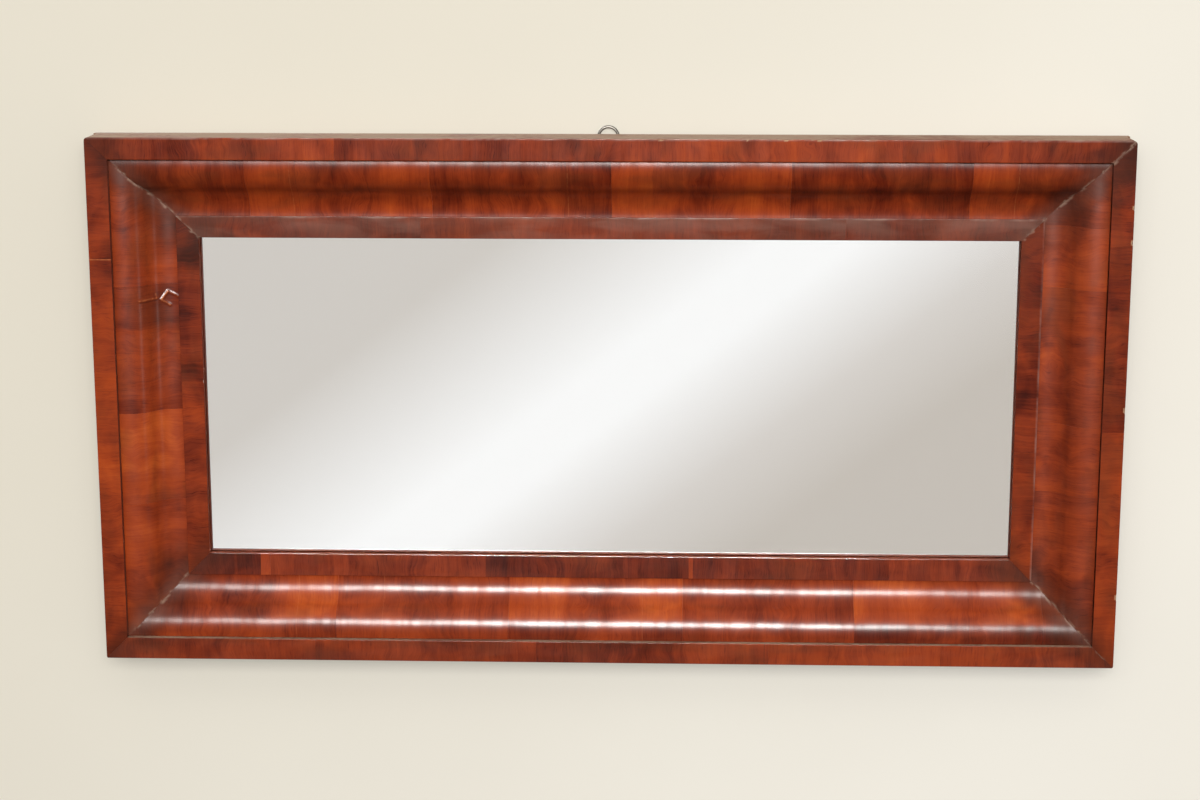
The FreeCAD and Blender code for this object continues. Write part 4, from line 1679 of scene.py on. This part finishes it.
@dataclass
class MirrorBack:
    """Glass, silvering, blocks, backboards and nails."""

    pine_grain: PineGrain
    ageing: Ageing
    row_nails: int = 7
    pair_share: float = 0.28
    nail_head: Point = (4 * MM, 3 * MM)
    end_margin: float = 40 * MM

    def soil(self, board: str, outer: float) -> BoardSoil:
        """Where a board is soiled.

        Args:
            board: The board's node.
            outer: Height of its outer long edge.

        Returns:
            The places of its edges and nails.
        """
        low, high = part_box(board)
        _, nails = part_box("backboard_nails")
        return BoardSoil(
            half_width=high.x,
            outer_edge=outer,
            row=math.copysign(nails.z - self.nail_head[1] / 2, outer),
            pitch=2 * (high.x - self.end_margin) / (self.row_nails - 1),
            end=nails.x - self.nail_head[0] / 2,
            pair_middle=(low.z + high.z) / 2,
            pair_reach=self.pair_share * (high.z - low.z),
        )

    def pine(self, name: str, early: Colour, late: Colour, **rest: object) -> Material:
        """Pine finish of these colours, with other fields by name."""
        return PineFinish(name, self.pine_grain, self.ageing, early, late, **rest).material()

    def build(self) -> list[Object]:
        """Model the glass, and dress it and what lies behind it.

        Returns:
            The new pieces.
        """
        pane = Pane()
        piece = finished(pane.build(), "plate_glass_pane", GlassFinish().material(), crease=10)
        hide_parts(pane.name)
        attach(piece, "frame")
        paint("silvering", SilverFinish().material())
        for number, board in enumerate(("upper", "lower")):
            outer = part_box(f"{board}_backboard")[1 - number].z
            board_pine = self.pine(
                f"{board}_board_pine", srgb(184, 144, 100), srgb(146, 102, 64), roughness=0.72,
                shift=0.4 + 0.5 * number, rings=46.0, wander=0.09, soiling=0.2,
                soil=self.soil(f"{board}_backboard", outer),
            )
            paint(f"{board}_backboard", board_pine)
        paint("glass_blocks", self.pine("block_pine", srgb(172, 132, 90), srgb(126, 88, 56)))
        hardwood = self.pine("feather_hardwood", srgb(120, 78, 48), srgb(92, 56, 34), roughness=0.5)
        for corner in ("top_left", "top_right", "bottom_left", "bottom_right"):
            paint(f"{corner}_mitre_feather", hardwood)
        metal, rust = srgb(70, 66, 62), srgb(92, 52, 32)
        iron = MetalFinish("cut_iron", self.ageing, metal, rust, worn=0.4, roughness=0.5)
        paint("backboard_nails", iron.material())
        return [piece]


@dataclass
class Hanger:
    """Strap, swinging ring and screws on the back of the top rail."""

    ageing: Ageing

    def dress(self) -> None:
        """Give the hanger its worn steel."""
        metal, rust = srgb(112, 108, 102), srgb(98, 62, 40)
        steel = MetalFinish("hanger_steel", self.ageing, metal, rust, worn=0.56, roughness=0.36).material()
        for node in ("hanger_strap", "hanger_ring", "hanger_screws"):
            paint(node, steel)


@dataclass(frozen=True)
class StagePaint(Finish):
    """Plain paint that shows from its front only, with painted light: another, lighter tone towards the right
    and below, and part of its brightness as glow, which lightens the shadows on it.
    """

    name: str
    tone: Colour
    far_tone: Colour
    mottle: Colour = srgb(206, 198, 182)
    glow: float = 0.5

    MOTTLE, MOTTLE_FADE = (3, 3, 3), (0.3, 0.7, 0.0, 0.06)
    SLANT, TONE_FADE = -0.9, (-0.75, 0.85)

    def surface(self, tree: Tree) -> NodeSocket:
        """Lay out the finish.

        Args:
            tree: The material's empty tree.

        Returns:
            The surface shader's socket.
        """
        place = tree.place()
        mottle = tree.cloud(place, self.MOTTLE, 4)
        x, _, z = tree.parts(place)
        # Painted light: lighter towards the right and below.
        far = tree.fade(tree.line(z, self.SLANT, x), *self.TONE_FADE)
        colour = tree.blend(far, self.tone, self.far_tone)
        colour = tree.blend(tree.fade(mottle, *self.MOTTLE_FADE), colour, self.mottle)
        dull = 1.0 - self.glow
        front = tree.shader({
            "Base Color": tree.blend(1.0, colour, (dull, dull, dull, 1.0), "MULTIPLY"),
            "Roughness": 1.0,
            "Specular IOR Level": 0.0,
            "Emission Color": colour,
            "Emission Strength": self.glow,
        })
        mixed = tree.add("ShaderNodeMixShader", {"Fac": tree.geometry("Backfacing")})
        tree.feed(mixed.inputs[1], front)
        tree.feed(mixed.inputs[2], tree.add("ShaderNodeBsdfTransparent").outputs["BSDF"])
        return mixed.outputs["Shader"]


@dataclass(frozen=True)
class Lamp:
    """A soft rectangular light: where it stands and points, its width and height, and its power in watts.

    A lamp that isn't mirrored doesn't show in polished faces, and one that isn't lighting shows only there.
    """

    name: str
    spot: Spot
    aim: Spot
    size: Point
    power: float
    tone: Tones = (1.0, 0.985, 0.96)
    mirrored: bool = True
    lighting: bool = True

    def hang(self) -> None:
        """Put the light in the scene."""
        data = bpy.data.lights.new(self.name, "AREA")
        data.shape = "RECTANGLE"
        data.size, data.size_y = self.size
        data.energy = self.power
        data.color = self.tone
        light = bpy.data.objects.new(self.name, data)
        light.location = self.spot
        light.rotation_euler = (Vector(self.aim) - Vector(self.spot)).to_track_quat("-Z", "Y").to_euler()
        light.visible_glossy, light.visible_diffuse = self.mirrored, self.lighting
        bpy.context.scene.collection.objects.link(light)


@dataclass
class Studio:
    """Wall, floor, lights and camera, and the pale room that the glass shows."""

    # Wall and floor are lighter towards the right and below: painted light.
    wall_tones: tuple[Colour, Colour] = (srgb(227, 221, 206), srgb(241, 237, 227))
    floor_tones: tuple[Colour, Colour] = (srgb(224, 219, 208), srgb(228, 224, 216))
    wall_reach: float = 2.4
    wall_gap: float = 0.8 * MM
    floor_reach: float = 3.2
    floor_level: float = -1.45
    lens: float = 70.65
    sensor: float = 36.0
    eye: Spot = (0.0710, -2.4042, 0.5044)
    dip: float = 11.956
    turn: float = 1.900
    lamps: tuple[Lamp, ...] = (
        Lamp("high_softbox", (0.05, -2.6, 2.5), (0.05, 0, -0.1), (2.6, 0.9), 10.0, mirrored=False),
        Lamp("wide_softbox", (0.05, -3.2, 1.17), (0.05, 0, -0.1), (2.9, 0.95), 34.0),
        Lamp("front_flash", (0.12, -3.15, 1.15), (0.05, 0, -0.1), (1.15, 0.66), 44.0),
        Lamp("window_glow", (-0.2, -3.1, 1.15), (0.0, 0, -0.1), (1.4, 0.95), 88.0, lighting=False),
        Lamp("side_strip", (1.9, -1.2, -0.36), (-0.46, 0, 0.1), (0.17, 0.28), 0.7, (1.0, 0.97, 0.93)),
        Lamp("back_fill", (-1.3, 2.8, 1.2), (0, 0, 0), (1.8, 1.4), 62.0),
    )
    light_level: tuple[float, float, float, float] = (0.29, 0.10, 0.20, 0.58)
    least_light: float = 0.04
    glossy_dim: tuple[float, float, float, float] = (-0.1, 0.5, 0.9, 0.2)
    most_bounces: float = 1.5
    least_depth: float = 0.05
    light_tone: Colour = srgb(255, 251, 244)
    far_tone: Colour = srgb(231, 225, 213)
    view_middle: Point = (-0.0314, -0.2119)
    view_slant: float = -1.328
    view_width: float = 0.3
    view_glow: float = 0.13
    view_stops: tuple[tuple[float, Colour], ...] = (
        (0.04, srgb(212, 207, 201)),
        (0.43, srgb(255, 255, 255)),
        (0.55, srgb(255, 255, 255)),
        (0.80, srgb(219, 214, 209)),
        (1.0, srgb(202, 195, 187)),
    )

    def plane(self, name: str, tones: tuple[Colour, Colour], place: Matrix, reach: float) -> Object:
        """A large one-sided sheet of the stage, which throws no light on the mirror.

        Args:
            name: Its name.
            tones: Its colour at the left and at the right.
            place: Its place.
            reach: Half its side.

        Returns:
            The object.
        """
        bm = bmesh.new()
        bmesh.ops.create_grid(bm, x_segments=2, y_segments=2, size=reach)
        bmesh.ops.transform(bm, matrix=place, verts=bm.verts[:])
        sheet = placed(bm, name, StagePaint(name, *tones).material())
        sheet.visible_diffuse = sheet.visible_glossy = False
        sheet.visible_transmission = sheet.visible_shadow = False
        return sheet

    def room_view(self, tree: Tree, x: NodeSocket, y: NodeSocket, z: NodeSocket) -> NodeSocket:
        """The pale room in the glass, with a bright slanting stripe.

        Args:
            tree: The world's tree.
            x: Sideways part of the way looked.
            y: Part of it into the wall.
            z: Upward part of it.

        Returns:
            The colour's socket.
        """
        depth = tree.calc("MAXIMUM", tree.times(y, -1.0), self.least_depth)
        over = tree.less(tree.calc("DIVIDE", x, depth), self.view_middle[0])
        up = tree.less(tree.calc("DIVIDE", z, depth), self.view_middle[1])
        share = tree.line(tree.line(up, self.view_slant, over), 1 / self.view_width, 0.5)
        return tree.ramp(share, self.view_stops)

    def world(self) -> None:
        """Soft light from all round, brighter from above and from the right, and the room in the glass.

        Polished faces see less of the light, and the glass shows the room only when it is looked at directly.
        """
        world = bpy.data.worlds.new("studio")
        bpy.context.scene.world = world
        world.use_nodes = True
        tree = Tree(world.node_tree)
        x, y, z = tree.parts(tree.add("ShaderNodeTexCoord").outputs["Generated"])
        base, right, ahead, above = self.light_level
        level = tree.line(tree.size(y), ahead, tree.line(x, right, base))
        level = tree.calc("MAXIMUM", tree.line(z, above, level), self.least_light)
        path = tree.add("ShaderNodeLightPath").outputs
        dim = tree.fade(y, *self.glossy_dim)
        reflected = tree.calc("MAXIMUM", path["Is Glossy Ray"], path["Is Transmission Ray"])
        level = tree.times(level, tree.less(1.0, tree.times(reflected, dim)))
        soft = tree.blend(1.0, self.light_tone, tree.join(level, level, level), "MULTIPLY")
        colour = tree.blend(path["Is Camera Ray"], soft, self.far_tone)
        bounces = tree.line(path["Diffuse Depth"], 2.0, path["Glossy Depth"])
        seen = tree.times(path["Is Transmission Ray"], tree.calc("LESS_THAN", bounces, self.most_bounces))
        sky = tree.add("ShaderNodeBackground", {
            "Color": tree.blend(seen, colour, self.room_view(tree, x, y, z)),
            "Strength": tree.line(seen, self.view_glow, 1.0),
        })
        tree.feed(tree.add("ShaderNodeOutputWorld").inputs["Surface"], sky.outputs["Background"])

    def build(self) -> None:
        """Set the stage, the lights and the camera."""
        upright = Matrix.Translation((0, self.wall_gap, 0)) @ Matrix.Rotation(math.pi / 2, 4, "X")
        self.plane("backdrop_wall", self.wall_tones, upright, self.wall_reach)
        self.plane("floor", self.floor_tones, Matrix.Translation((0, 0, self.floor_level)), self.floor_reach)
        self.world()
        for lamp in self.lamps:
            lamp.hang()
        data = bpy.data.cameras.new("camera")
        data.lens = self.lens
        data.sensor_fit = "HORIZONTAL"
        data.sensor_width = self.sensor
        camera = bpy.data.objects.new("camera", data)
        camera.location = self.eye
        camera.rotation_euler = (math.radians(90 - self.dip), 0.0, math.radians(self.turn))
        bpy.context.scene.collection.objects.link(camera)
        bpy.context.scene.camera = camera
        bpy.context.scene.view_settings.view_transform = "Standard"


def main() -> None:
    """Build every sub-assembly, and report each piece."""
    logging.basicConfig(level=logging.INFO, format="%(name)s: %(message)s")
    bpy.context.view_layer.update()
    cross_grain, pine_grain, ageing = CrossGrain(), PineGrain(), Ageing()
    pieces = VeneeredFrame(cross_grain, pine_grain, ageing).build()
    pieces += MirrorBack(pine_grain, ageing).build()
    Hanger(ageing).dress()
    Studio().build()
    for piece in pieces:
        LOG.info("%s: %d faces", piece.name, len(piece.data.polygons))


if __name__ == "__main__":
    main()
